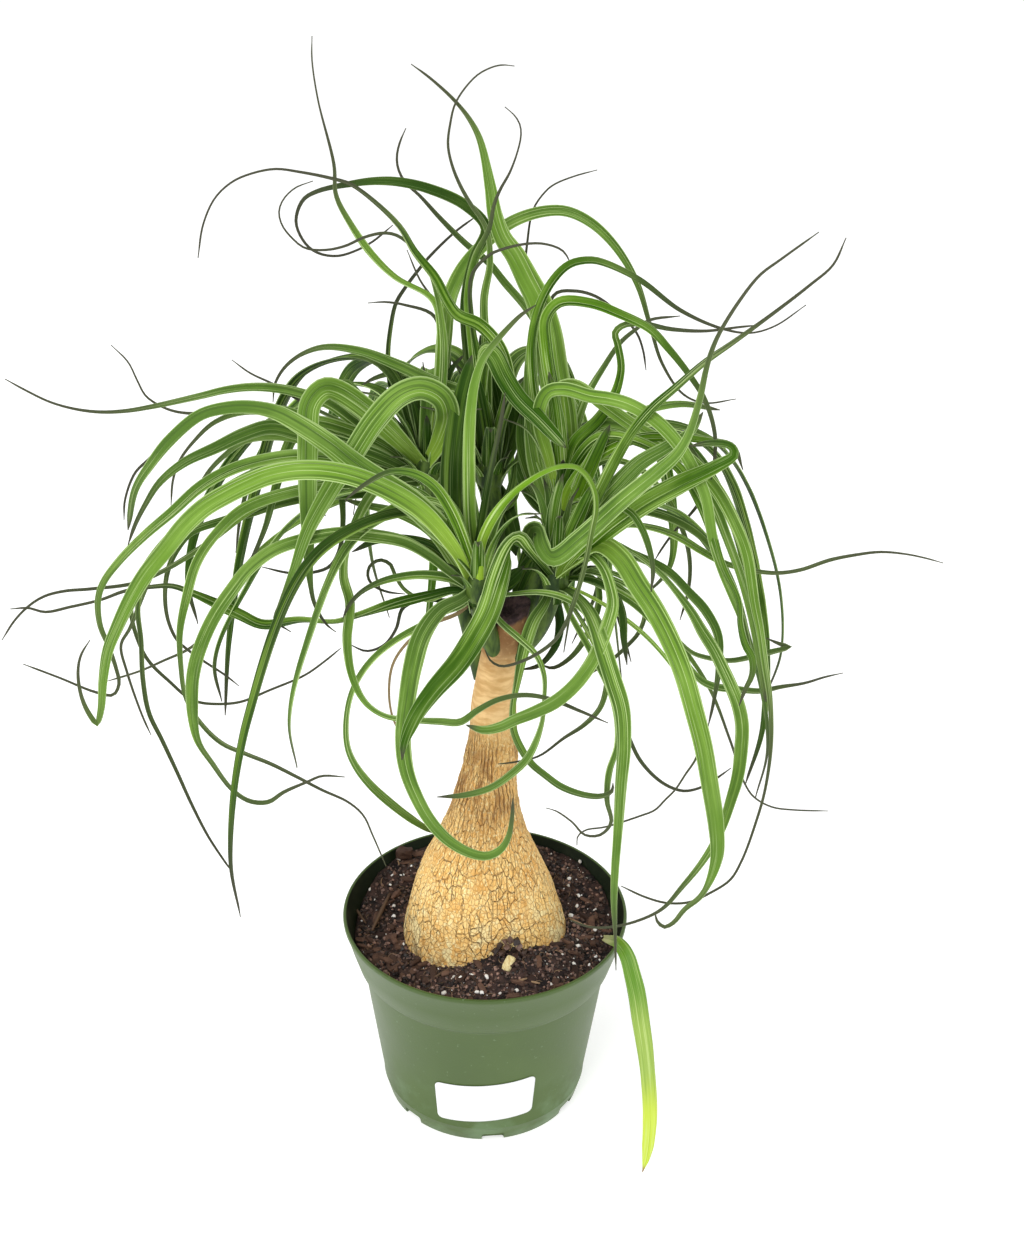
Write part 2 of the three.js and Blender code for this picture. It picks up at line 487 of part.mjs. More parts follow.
     [95, 692], [60, 678], [23, 664, -30]]],
  ["left bright bow", "front_left", [16, 20, 20, 20, 20, 20, 18, 16, 12, 8, 4, 2],
    [[455, 550], [420, 510], [370, 482, -45], [335, 472], [300, 470], [270, 475], [245, 485], [225, 495],
     [205, 507, -60], [185, 525], [165, 550], [145, 575], [130, 600], [118, 625], [108, 650], [103, 680],
     [101, 710, -62], [97, 724], [88, 712], [81, 695], [78, 672], [81, 655], [90, 640, -58]]],
  ["left reacher", "back_left", [12, 10, 8, 6, 4, 3, 2],
    [[380, 482], [320, 487], [260, 505, 28], [205, 545], [165, 570], [135, 583], [90, 589, 22], [65, 591],
     [45, 596], [30, 605], [15, 620], [2, 640, 18]]],
  ["left pinched leaf", "front_left", [12, 12, 12, 5, 4, 10, 12, 6, 4, 3, 3, 2],
    [[455, 590], [430, 595], [395, 604, -2], [360, 616], [335, 623], [300, 621], [262, 625], [240, 615, 8],
     [215, 603], [190, 592], [172, 586], [150, 587], [125, 591], [100, 600], [70, 607], [45, 612],
     [28, 608], [10, 609, 12]]],
  ["left hook", "back_left", [12, 12, 10, 8, 5, 3, 2],
    [[385, 490], [320, 495], [280, 503, 35], [250, 513], [225, 520], [192, 532], [178, 548], [168, 570],
     [165, 595, 28], [168, 620], [177, 640], [188, 650], [205, 662], [225, 675], [239, 686, 25]]],
  ["long tail left", "back_left", [14, 12, 12, 12, 10, 10, 6, 4, 5, 4, 3, 2, 1.5],
    [[390, 488], [345, 484], [300, 490, 12], [245, 508], [215, 535], [197, 562], [187, 595], [180, 630, -12],
     [181, 665], [187, 700], [205, 728], [223, 744], [246, 754], [271, 764, -28], [297, 777], [322, 790],
     [348, 802], [363, 815], [373, 836], [386, 866, -40]]],
  ["left swag", "front_left", [14, 14, 14, 14, 13, 13, 14, 14, 14, 12, 6, 4, 5, 3, 2],
    [[450, 572], [430, 556], [405, 542], [375, 536, -28], [340, 534], [305, 540], [275, 550], [250, 568],
     [232, 590], [215, 615, -34], [203, 640], [195, 665], [192, 690], [197, 739], [213, 764], [233, 790],
     [250, 801, -38], [268, 802], [284, 792], [307, 782], [322, 776], [345, 777, -42]]],
  ["left thread", "back_left", [10, 9, 8, 6, 3, 2],
    [[380, 470], [300, 462], [220, 500, 60], [160, 560], [130, 628], [121, 645], [127, 672], [142, 715],
     [151, 735, 65]]],
  ["left plumb leaf", "back_left", [12, 12, 10, 8, 6, 5, 5, 4, 3, 2],
    [[385, 465], [310, 462], [235, 490, 35], [180, 530], [150, 565], [138, 605], [141, 640], [143, 680],
     [149, 713, 38], [162, 740], [177, 772], [192, 805], [208, 836], [223, 859], [233, 873, 42]]],
  ["left fish hook", "back_left", [12, 12, 10, 8, 6, 4, 3, 2.5, 2],
    [[388, 455], [320, 455], [240, 480, 75], [175, 530], [140, 575], [131, 610], [142, 650], [152, 665],
     [170, 682], [187, 697, 85], [198, 702], [215, 704], [240, 702], [270, 690], [305, 675], [325, 661],
     [341, 648, 90]]],
  ["left curl under", "back_left", [8, 6, 4, 3, 2],
    [[385, 485], [320, 510], [260, 550, 50], [215, 610], [199, 640], [187, 650], [165, 660], [140, 671],
     [108, 681, 62]]],
  ["left faller", "back_left", [12, 12, 12, 12, 10, 6, 3],
    [[395, 452], [350, 430], [308, 422, 22], [291, 440], [275, 490], [266, 525], [255, 552], [247, 567, 5]]],
  ["inner left hook", "back_left", [12, 12, 10, 6, 4, 3, 2],
    [[410, 475], [370, 463], [345, 468, 38], [342, 490], [343, 520], [340, 548], [330, 566], [315, 572],
     [290, 573], [262, 567, 32]]],
  ["left looper", "back_left", [14, 14, 12, 6, 10, 10, 8, 5, 5, 8, 6, 5, 4, 2],
    [[405, 470], [375, 490], [352, 535, 10], [344, 575], [350, 603], [347, 640], [352, 675, -12], [366, 702],
     [385, 715], [410, 719], [440, 721, -30], [460, 722], [478, 710], [500, 699, -40], [525, 695],
     [550, 699], [580, 711], [608, 723, -45]]],
  ["trailing left leaf", "front_left", [10, 8, 8, 6, 6, 5, 5, 6, 8, 9, 8, 4],
    [[462, 606], [440, 614], [422, 626], [399, 639, -14], [373, 660], [356, 685], [348, 713], [348, 744, -8],
     [356, 765], [373, 787], [399, 810], [422, 826], [437, 834, 8]]],
  ["dry left thread", "front_left", [5, 4, 3, 2.5, 2],
    [[460, 612], [430, 625], [406, 644, -8], [393, 664], [389, 690], [392, 715], [401, 736, -8]]],
  ["front sweep", "front_left", [18, 20, 20, 20, 18, 16, 16, 14, 13, 12, 10, 8, 5, 3],
    [[462, 598], [440, 610], [422, 635, -35], [413, 665], [407, 700], [403, 735], [406, 768, -58], [417, 798],
     [431, 822], [449, 841], [470, 853, -64], [487, 856], [500, 850], [508, 838], [512, 818],
     [513, 798, -62]]],
  ["front fold", "right", [14, 12, 10, 16, 24, 24, 24, 22, 18, 14, 4],
    [[537, 563, -12], [524, 548], [515, 541, -24], [508, 552, -32], [499, 578], [488, 612, -48], [473, 640],
     [457, 664], [434, 690, -70], [416, 715], [404, 743], [402, 760, -78]]],
  ["front bow", "right", [12, 8, 8, 10, 12, 14, 14, 14, 14, 12, 10, 6],
    [[572, 562], [590, 556, -22], [602, 568], [610, 590], [612, 605, -38], [607, 625], [600, 645],
     [590, 665], [575, 685, -52], [555, 702], [535, 712], [515, 720], [500, 727], [483, 730],
     [466, 725, -58]]],
  ["front ring", "front_left", [14, 14, 12, 10, 7, 5, 5, 6, 6, 5, 5, 4, 4, 3, 2],
    [[481, 545], [502, 505, -38], [533, 478], [561, 466, -58], [577, 467], [588, 477], [595, 493],
     [596, 510, -66], [592, 530], [585, 565], [573, 605], [565, 625, -58], [555, 640], [540, 652],
     [520, 662], [500, 666, -42], [490, 660], [485, 650, -38]]],
  ["front left nod", "front_left", [14, 14, 12, 12, 10, 6, 3],
    [[466, 545], [450, 508], [432, 484, -42], [412, 473], [389, 472], [364, 485], [345, 500, -58]]],
  ["low left leaf", "front_left", [10, 10, 8, 5, 3],
    [[455, 580], [430, 575], [405, 576, -6], [380, 582], [360, 593], [348, 607], [343, 618, 0]]],
  ["curlicue", "front_left", [5, 5, 4, 4, 3, 2],
    [[452, 592], [425, 600, 2], [405, 590], [395, 575], [390, 564], [380, 560], [370, 566, 8], [368, 577],
     [374, 586], [388, 592], [405, 594, 12]]],
  ["small hook", "front_left", [6, 5, 4, 3, 2],
    [[455, 600], [420, 600, 8], [403, 608], [396, 629], [384, 645], [366, 651], [349, 644, 16]]],
  ["upper dark leaf", "front_left", [14, 14, 12, 9, 5],
    [[455, 562, 2], [430, 530], [395, 512, 16], [365, 505], [345, 500, 20]]],
  ["lower dark leaf", "front_left", [14, 14, 12, 9, 4],
    [[458, 572, 0], [435, 549], [408, 540, 18], [378, 540], [352, 552, 22]]],
  ["right great bow", "right", [14, 16, 20, 22, 21, 20, 20, 19, 18, 17, 14, 6, 5, 3],
    [[575, 560], [601, 545, -28], [620, 558], [638, 585], [655, 611, -52], [670, 640], [683, 672],
     [694, 710], [703, 745, -68], [710, 785], [716, 825], [717, 855], [710, 880, -70], [700, 897],
     [685, 909], [673, 923], [664, 927], [657, 921], [655, 912, -66]]],
  ["right plumb leaf", "right", [12, 12, 14, 18, 18, 15, 13, 11, 9, 8, 6, 3, 1.5],
    [[574, 596], [590, 616, -40], [603, 650], [613, 680], [622, 710], [624, 745, -68], [621, 785],
     [618, 830], [615, 870], [614, 900, -78], [615, 930], [616, 970, -78]]],
  ["right small hanger", "right", [6, 7, 8, 8, 3],
    [[575, 578], [600, 583, -14], [614, 594], [622, 612], [624, 640], [627, 665, -22]]],
  ["right deep hanger", "right", [8, 5, 4, 4, 6, 12, 13, 14, 14, 12, 9, 7, 5, 3, 2.5, 2],
    [[572, 565], [600, 541, -20], [630, 553], [657, 573], [675, 593], [690, 613, -30], [700, 630],
     [713, 650], [722, 668], [730, 685], [738, 705, -36], [742, 725], [741, 750], [738, 775], [731, 800],
     [720, 832], [703, 861], [682, 887, -48], [662, 909], [637, 921], [611, 927], [590, 927],
     [570, 920, -46]]],
  ["right level twist", "right", [6, 5, 4, 3, 4, 5, 6, 3],
    [[580, 572], [630, 588, 12], [664, 625], [690, 652], [706, 658], [730, 661, 22], [752, 657], [775, 651],
     [790, 647], [780, 644], [766, 638, 28]]],
  ["right level leaf", "right", [10, 9, 9, 8, 5, 8, 6, 3, 1.5],
    [[580, 578], [630, 600, 0], [665, 635], [688, 667], [701, 681], [716, 687], [735, 689, 8], [760, 691],
     [780, 687], [805, 683], [825, 677], [843, 673, 14]]],
  ["right scoop", "right", [6, 5, 4, 4, 4, 3, 2],
    [[568, 600], [592, 640, 8], [612, 690], [631, 742, 12], [640, 760], [655, 777], [670, 787], [685, 791],
     [702, 787], [717, 778], [731, 768, 16]]],
  ["right inward thread", "right", [6, 5, 4, 3, 2, 2, 1.5],
    [[572, 588], [605, 605, -2], [650, 640], [688, 690], [702, 725, 2], [697, 756], [685, 775], [675, 790],
     [665, 800], [655, 810, 6], [640, 816], [605, 827], [586, 830], [578, 836], [577, 845, 8]]],
  ["right flick", "right", [8, 6, 5, 3, 2, 1.5],
    [[580, 568], [650, 612, 20], [705, 680], [730, 740, 28], [744, 782], [754, 797], [772, 807],
     [795, 810], [828, 811, 34]]],
  ["right crook", "right", [8, 8, 7, 6, 5, 6, 7, 5, 3, 2, 1.5],
    [[566, 605], [590, 650, -22], [612, 700], [617, 742, -30], [609, 772], [607, 800], [611, 823],
     [600, 835, -32], [585, 835], [572, 822], [556, 811], [546, 808, -32]]],
  ["under trunk leaf", "right", [12, 14, 14, 10, 5, 7, 8, 7, 7, 6, 4],
    [[545, 602], [533, 622, -22], [524, 650], [517, 680], [512, 708, -30], [514, 733], [530, 762],
     [545, 775], [562, 787, -32], [585, 795], [602, 796], [612, 791], [613, 783, -34]]],
  ["trunk crossing", "front_left", [10, 8, 7, 6, 5, 3, 4, 8, 8, 7, 6, 3],
    [[486, 602], [500, 622, -30], [520, 640], [535, 655], [543, 675], [543, 700, -38], [541, 722],
     [528, 757], [510, 775, -48], [490, 788], [465, 795], [437, 797, -50]]],
  ["trunk girdle", "front_left", [6, 5, 6, 8, 8, 7, 6, 5, 3, 2, 2],
    [[485, 597], [510, 595, -22], [540, 593], [564, 598], [585, 611, -14], [600, 632], [608, 660],
     [607, 684], [600, 708], [584, 725, -20], [564, 738], [539, 756], [515, 762], [498, 764, -34]]],
  ["far right whip", "right", [8, 6, 5, 6, 8, 7, 5, 4, 4, 3, 2, 1.5],
    [[568, 558], [598, 534, -12], [625, 526], [655, 529], [680, 538], [700, 550], [722, 562, 4],
     [745, 569], [775, 573], [800, 570], [830, 560], [855, 555], [880, 552], [905, 554], [925, 558],
     [943, 563, 20]]],
  ["right shoulder leaf", "right", [8, 9, 10, 9, 8, 10, 9, 7, 4, 2],
    [[575, 568], [600, 553, -4], [622, 552], [645, 560], [668, 572], [688, 592], [705, 610, -8],
     [718, 635], [719, 665], [714, 700], [708, 727, -14]]],
  ["right back faller", "back_right", [10, 8, 6, 6, 5, 4, 2],
    [[568, 500], [600, 462], [635, 466, 48], [665, 495], [676, 515], [686, 540], [690, 565], [688, 592],
     [680, 620, 58]]],
  ["right drip", "right", [10, 8, 8, 8, 7, 3],
    [[568, 560], [595, 520, -30], [614, 506], [630, 512, -40], [641, 527], [649, 548], [653, 570],
     [651, 592, -48]]],
  ["right back dive", "back_right", [8, 7, 5, 5, 3, 2],
    [[572, 480], [605, 430], [650, 420, 45], [688, 445], [702, 475], [700, 500], [688, 517], [674, 532],
     [661, 550], [655, 560, 65]]],
  ["inner right ring", "right", [6, 6, 7, 7, 5, 3],
    [[575, 578], [594, 580, 10], [599, 600], [587, 635], [570, 658], [552, 668], [540, 664, 20]]],
  ["inner right hook", "right", [10, 10, 9, 6, 3],
    [[556, 600], [560, 622, 4], [557, 642], [549, 656], [538, 666], [520, 670, 8]]],
  ["inner right wisp", "right", [6, 5, 5, 4, 3],
    [[578, 570], [610, 572, 18], [638, 588], [645, 612], [639, 632], [627, 646], [614, 658], [600, 667],
     [570, 685, 30]]],
  ["broad folded shelf", "right", [16, 20, 21, 22, 22, 20, 14, 8, 5],
    [[566, 568], [600, 535, -26], [640, 506], [680, 484], [715, 467], [734, 455, -44], [731, 446],
     [713, 443], [690, 446, -30]]],
  ["right shelf", "back_right", [14, 14, 12, 10, 8, 3],
    [[570, 490], [600, 454], [640, 438, -2], [680, 437], [712, 441], [733, 446], [743, 470, -14]]],
  ["right upper shelf", "back_right", [12, 12, 10, 8, 4],
    [[568, 480], [600, 432], [640, 412, 30], [680, 404], [720, 410, 38]]],
  ["bright inner blade", "back_left", [14, 14, 12, 6],
    [[414, 455], [396, 432, 30], [386, 412], [380, 396, 26]]],
  ["bright right blade", "back_right", [16, 20, 16, 6],
    [[574, 500], [588, 470, 5], [600, 445], [610, 425, 0]]],
  ["bright centre blade", "back_right", [14, 18, 16, 6],
    [[562, 480], [559, 440], [555, 405, 12], [549, 372, 8]]],
  ["bright right heart", "right", [12, 16, 14, 5],
    [[556, 556], [553, 528], [556, 500, -12], [563, 474, -14]]],
  ["bright right heart blade", "right", [12, 16, 14, 5],
    [[562, 558], [572, 530], [584, 504, -18], [594, 482, -22]]],
  ["bright front heart", "front_left", [12, 15, 13, 5],
    [[472, 566], [459, 536], [447, 506, -24], [434, 482, -28]]],
  ["bright right shelf", "back_right", [14, 18, 20, 18, 12, 6],
    [[572, 505], [592, 510, 4], [613, 490, -10], [640, 463], [665, 448], [690, 432], [703, 412, -25]]],
];

// The middle line in space; where no depth is written it runs evenly between those that are.
const middleLine = (points, rootDepth) => {
  const depths = points.map(([, , depth], i) => (i === 0 ? rootDepth : depth));
  const known = depths.map((depth, i) => (depth === undefined ? -1 : i)).filter((i) => i >= 0);
  return points.map(([x, y], i) => {
    const after = known.find((k) => k >= i);
    const before = known.filter((k) => k <= i).pop();
    const share = after === before ? 0 : (i - before) / (after - before);
    return seen(x, y, lerp(depths[before], depths[after], share));
  });
};

const evenly = (values, t) => {
  const spot = clamp(t, 0, 1) * (values.length - 1);
  const low = Math.min(values.length - 2, Math.floor(spot));
  return lerp(values[low], values[low + 1], spot - low);
};

// Four corners as two triangles, halved along whichever line stands out: a blade that twists
// between two sections then never cuts through itself.
const halved = (points, [p, q, r, s]) => {
  const edge = points[q].clone().sub(points[p]);
  const outwards = edge.cross(points[r].clone().sub(points[p]));
  const raised = points[s].clone().sub(points[p]).dot(outwards) > 0;
  return raised ? [p, q, s, q, r, s] : [p, q, r, p, r, s];
};

// A blade: a flat upper face and a keel below, drawn to a point at the tip. In a tight curl the
// sections that would fold back over the one before them, or over the tip, are left out.
const blade = (curve, widthAt, sideAt, grow = 0) => {
  const steps = clamp(Math.round(curve.getLength() / BLADE_STEP), 6, 18);
  const ahead = (point, from, way) => point.clone().sub(from).dot(way) > 0;
  const tip = curve.getPointAt(1);
  const sections = [];
  let lastSide;
  for (let i = 0; i < steps; i++) {
    const t = i / steps;
    const middle = curve.getPointAt(t);
    const tangent = curve.getTangentAt(t);
    const side = sideAt(t, middle, tangent);
    const last = sections.at(-1);
    if (lastSide && side.dot(lastSide) < 0) side.negate();
    const face = new THREE.Vector3().crossVectors(side, tangent).normalize();
    const half = widthAt(t) / 2 + grow;
    const keel = lerp(1, BLADE_THICK, clamp(half / 4, 0, 1)) + 2 * grow;
    const corners = [
      middle.clone().addScaledVector(side, -half).addScaledVector(face, keel / 3),
      middle.clone().addScaledVector(side, half).addScaledVector(face, keel / 3),
      middle.clone().addScaledVector(face, (-keel * 2) / 3),
    ];
    const clear =
      !last ||
      (corners.every((corner) => ahead(corner, last.middle, last.tangent)) &&
        last.corners.every((corner) => ahead(middle, corner, tangent)));
    if (!clear) continue;
    lastSide = side;
    sections.push({ corners, middle, tangent });
  }
  while (!ahead(tip, sections.at(-1).middle, sections.at(-1).tangent)) sections.pop();
  const points = [...sections.flatMap((section) => section.corners), tip];
  const faces = [0, 2, 1];
  sections.forEach((_, i) => {
    const a = i * 3;
    for (const [j, k] of [[0, 1], [1, 2], [2, 0]]) {
      if (i + 1 < sections.length) faces.push(...halved(points, [a + j, a + k, a + 3 + k, a + 3 + j]));
      else faces.push(a + j, a + k, points.length - 1);
    }
  });
  const geometry = new THREE.BufferGeometry().setFromPoints(points);
  geometry.setIndex(faces);
  return solid(geometry);
};

// A blade is narrowest at its root, where the leaves crowd together.
const rootTaper = (t) => lerp(ROOT_SHARE, 1, smoothstep(t, 0.02, 0.22));

// A leaf is as wide as it shows anywhere further out, and is turned until it shows what it does.
const fullWidth = (shown) => shown.map((_, i) => Math.max(...shown.slice(i)));
const leafTurn = randomFrom(7);
const seenLeaf = (shown, points, rootDepth, turnWay, root) => (nudge, grow) => {
  const route = middleLine(points, rootDepth);
  route[0].add(root);
  route.forEach((p, i) => {
    const slide = nudge * smoothstep(i / (route.length - 1), 0, 0.3);
    const sight = p.clone().sub(EYE).normalize();
    p.addScaledVector(sight, slide);
  });
  const curve = new THREE.CatmullRomCurve3(route, false, "centripetal");
  const full = fullWidth(shown);
  const scale = (p) => p.clone().sub(EYE).dot(forward) / EYE_LENGTH;
  const widthAt = (t) =>
    Math.max(THREAD_WIDTH, rootTaper(t) * evenly(full, t) * scale(curve.getPointAt(t)));
  const sideAt = (t, middle, tangent) => {
    const sight = middle.clone().sub(EYE).normalize();
    const open = new THREE.Vector3().crossVectors(tangent, sight).normalize();
    const away = new THREE.Vector3().crossVectors(open, tangent).normalize();
    const turn = turnWay * Math.acos(clamp(evenly(shown, t) / evenly(full, t), 0.2, 1));
    return open.multiplyScalar(Math.cos(turn)).addScaledVector(away, Math.sin(turn)).normalize();
  };
  return blade(curve, widthAt, sideAt, grow);
};

// The leaves on the far side arch low and away, by rule.
const BACK_LEAVES = { back_left: 6, back_centre: 7, back_right: 6, right: 3, front_left: 3 };
const BACK_FAN = {
  back_left: [95, 165],
  back_centre: [60, 125],
  back_right: [10, 80],
  right: [5, 40],
  front_left: [165, 200],
}; // degrees round from +X
const farLeaf = (crown, draw, fan, share, root) => {
  const turn = degToRad(lerp(fan[0], fan[1], share) + 8 * (draw() - 0.5));
  const out = new THREE.Vector3(Math.cos(turn), Math.sin(turn), 0);
  const reach = lerp(85, 150, draw());
  const rise = lerp(14, 40, draw());
  const fall = lerp(60, 190, draw());
  const wander = (draw() - 0.5) * 60;
  const width = lerp(8, 12.5, draw());
  const twist = (draw() - 0.5) * 2.6;
  const sway = new THREE.Vector3(-out.y, out.x, 0);
  const at = (outwards, sideways, up) =>
    crown
      .clone()
      .addScaledVector(out, outwards)
      .addScaledVector(sway, sideways)
      .add(new THREE.Vector3(0, 0, up));
  return (nudge, grow) => {
    const route = [
      crown.clone().add(root),
      at(reach * 0.22, 0, rise + 12),
      at(reach * 0.6 + nudge * 0.5, wander * 0.15, rise),
      at(reach * 0.9 + nudge, wander * 0.45, -fall * 0.3),
      at(reach + nudge, wander * 0.8, -fall * 0.75),
      at(reach * 0.97 + nudge, wander * 1.3, -fall),
    ];
    const curve = new THREE.CatmullRomCurve3(route, false, "centripetal");
    const widthAt = (t) => Math.max(THREAD_WIDTH, rootTaper(t) * width * (1 - 0.9 * t ** 1.7));
    const sideAt = (t, middle, tangent) => {
      const flat = sway.clone().addScaledVector(tangent, -sway.dot(tangent)).normalize();
      const raised = new THREE.Vector3().crossVectors(tangent, flat);
      const bank = twist * t;
      return flat.multiplyScalar(Math.cos(bank)).addScaledVector(raised, Math.sin(bank));
    };
    return blade(curve, widthAt, sideAt, grow);
  };
};

// Roots wind round the crown, each a golden angle on from the last.
const ROOT_RADIUS = 2.6;
const rootSpot = (order) => {
  const turn = degToRad(137.5 * order);
  return new THREE.Vector3(ROOT_RADIUS * Math.cos(turn), ROOT_RADIUS * Math.sin(turn), (order % 5) - 3);
};

// A head: a short stem, a core that the leaf roots go down into, and its leaves.
const stemOf = (route, radius) => {
  const curve = new THREE.CatmullRomCurve3(route, false, "centripetal");
  const sides = 8;
  const steps = 6;
  const rings = [];
  for (let i = 0; i <= steps; i++) {
    const t = i / steps;
    const tangent = curve.getTangentAt(t);
    const side = new THREE.Vector3(0, 1, 0).cross(tangent).normalize();
    const ahead = new THREE.Vector3().crossVectors(tangent, side);
    rings.push(
      Array.from({ length: sides }, (_, k) => {
        const turn = (k / sides) * Math.PI * 2;
        return curve
          .getPointAt(t)
          .addScaledVector(side, radius * Math.cos(turn))
          .addScaledVector(ahead, radius * Math.sin(turn));
      }),
    );
  }
  return solid(skin(rings));
};

const boxesMeet = (a, b) => {
  const p = a.boundingBox();
  const q = b.boundingBox();
  return [0, 1, 2].every((k) => p.min[k] <= q.max[k] + GAP && q.min[k] <= p.max[k] + GAP);
};
const meets = (body, others) =>
  others.some((other) => boxesMeet(body, other) && !body.intersect(other).isEmpty());

// Whether every edge lies between just two faces, where points that all but touch count as one.
const edgesArePlain = (body) => {
  const { vertProperties, triVerts } = body.getMesh();
  const point = (i) => [0, 1, 2].map((k) => Math.round(vertProperties[3 * i + k] * 1e4)).join();
  const faces = new Map();
  for (let i = 0; i < triVerts.length; i += 3) {
    const corners = [0, 1, 2].map((k) => point(triVerts[i + k]));
    if (new Set(corners).size < 3) continue;
    corners.forEach((corner, k) => {
      const edge = [corner, corners[(k + 1) % 3]].sort().join("/");
      faces.set(edge, (faces.get(edge) ?? 0) + 1);
    });
  }
  return [...faces.values()].every((count) => count === 2);
};

const CORE_RADII = [7.5, 7.5, 10];
const built = {};
for (const [name, head] of Object.entries(heads)) {
  const crown = seen(...head.crown);
  const stem = stemOf([...head.stem.map((p) => new THREE.Vector3(...p)), crown], STEM_RADIUS);
  const core = solid(
    new THREE.SphereGeometry(1, 10, 7).scale(...CORE_RADII).translate(crown.x, crown.y, crown.z + 2),
  );
  const body = outerBody(stem.add(core).subtract(roomForTrunk));
  built[name] = { crown, body, fused: body, leaves: [] };
}

// Each leaf is slid to and fro along the line of sight until it clears the other heads and
// crosses the leaves of its own cleanly.
const NUDGES = [0, 0.5, 3, 6, 9, 12, 16, 20, 25, 30, 36, 44].flatMap((slide) => [slide, -slide]);
const fixtures = [roomForTrunk, pot, soil];
const settle = (headName, makeLeaf) => {
  const others = Object.entries(built)
    .filter(([name]) => name !== headName)
    .flatMap(([, head]) => [head.body, ...head.leaves]);
  const own = built[headName];
  for (const nudge of NUDGES) {
    if (meets(makeLeaf(nudge, CLEARANCE), [...others, ...fixtures])) continue;
    const leaf = makeLeaf(nudge, 0);
    const fused = own.fused.add(leaf);
    if (!edgesArePlain(fused)) continue;
    own.leaves.push(leaf);
    own.fused = fused;
    return true;
  }
  return false;
};

const homeless = [];
for (const [name, headName, shown, points] of leaves) {
  const head = heads[headName];
  const way = leafTurn() < 0.5 ? -1 : 1;
  const route = [head.crown.slice(0, 2), ...points];
  const root = rootSpot(built[headName].leaves.length);
  if (!settle(headName, seenLeaf(shown, route, head.crown[2], way, root))) homeless.push(name);
}
const backDraw = randomFrom(23);
for (const [headName, count] of Object.entries(BACK_LEAVES)) {
  for (let i = 0; i < count; i++) {
    const root = rootSpot(built[headName].leaves.length);
    const leaf = farLeaf(built[headName].crown, backDraw, BACK_FAN[headName], i / (count - 1), root);
    settle(headName, leaf); // one that finds no room isn't grown
  }
}
if (homeless.length) throw new Error(`no room for ${homeless.join(", ")}`);

for (const [name, { fused }] of Object.entries(built)) {
  const clean = SLIVERS.map((sliver) => outerBody(fused.simplify(sliver))).find(edgesArePlain);
  if (!clean) throw new Error(`the leaves of head_${name} touch along an edge`);
  place(`head_${name}`, clean, leafGreen);
}

// A shed leaf that lies over the rim and hangs down outside, turning yellow towards its tip.
const shedWidths = [6, 9, 12, 16, 18, 18, 17, 15, 15, 14.5, 12, 3];
const shedRoute = [
  [604, 938, -13], [608, 939.4, -21.5], [612, 940.4, -29], [617, 942, -37], [621, 946, -43],
  [625, 952, -48.5], [628.5, 960, -52], [632, 973, -56], [636.5, 992, -59], [641, 1022, -62.5],
  [645.5, 1052, -65.5], [648.5, 1082, -68.5], [650, 1112, -71.5], [648.5, 1140, -74.5],
  [646, 1158, -77], [642.5, 1172, -79],
];
const shedLeaf = seenLeaf(shedWidths, shedRoute, shedRoute[0][2], 1, new THREE.Vector3());
place("draped_leaf", shedLeaf(0, 0), limeGreen);

export default plant;
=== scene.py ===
# A young ponytail palm in a round nursery pot: swollen corky trunk, five heads of strap leaves.
# Metres, +Z up, with its sizes written in mm. The origin is the centre of the pot's flat bottom
# and -Y is the front.
import math

import bmesh
import bpy
import numpy as np
from mathutils import Matrix, Vector, noise
from mathutils.bvhtree import BVHTree


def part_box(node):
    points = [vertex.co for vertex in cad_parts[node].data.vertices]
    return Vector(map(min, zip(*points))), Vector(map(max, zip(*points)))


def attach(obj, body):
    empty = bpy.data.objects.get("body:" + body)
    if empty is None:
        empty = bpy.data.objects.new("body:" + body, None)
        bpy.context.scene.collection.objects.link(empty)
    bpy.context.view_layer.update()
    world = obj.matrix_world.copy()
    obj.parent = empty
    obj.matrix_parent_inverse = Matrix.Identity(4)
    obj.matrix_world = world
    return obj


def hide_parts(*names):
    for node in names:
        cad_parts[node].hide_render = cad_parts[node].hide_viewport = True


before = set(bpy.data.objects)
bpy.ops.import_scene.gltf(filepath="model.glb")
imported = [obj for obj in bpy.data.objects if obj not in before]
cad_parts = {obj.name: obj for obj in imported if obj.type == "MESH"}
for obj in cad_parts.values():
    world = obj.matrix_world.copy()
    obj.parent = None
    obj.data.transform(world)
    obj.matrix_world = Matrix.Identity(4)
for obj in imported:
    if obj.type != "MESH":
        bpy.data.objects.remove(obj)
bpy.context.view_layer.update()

MM = 0.001


# ---------------------------------------------------------------- camera
# The plant is looked at from in front and from above, so that the soil shows inside the rim.
# The eye's place, tilt and lean follow from how round the pot's rim and foot look.
EYE = np.array([12.0, -780.0, 709.0])  # mm
LOOK_DOWN = math.radians(28.2)
EYE_LEAN = math.radians(0.9)
EYE_LENGTH = 1800  # the picture's distance, in its own units
PICTURE_WIDTH, PICTURE_HEIGHT = 1024, 1241
SENSOR = 36
eye = bpy.data.objects.new("eye", bpy.data.cameras.new("eye"))
eye.data.sensor_width = SENSOR
eye.data.lens = EYE_LENGTH / PICTURE_HEIGHT * SENSOR
eye.data.clip_end = 40
eye.matrix_world = (
    Matrix.Translation(Vector(EYE) * MM)
    @ Matrix.Rotation(math.radians(90) - LOOK_DOWN, 4, "X")
    @ Matrix.Rotation(EYE_LEAN, 4, "Z")
)
bpy.context.scene.collection.objects.link(eye)
bpy.context.scene.camera = eye


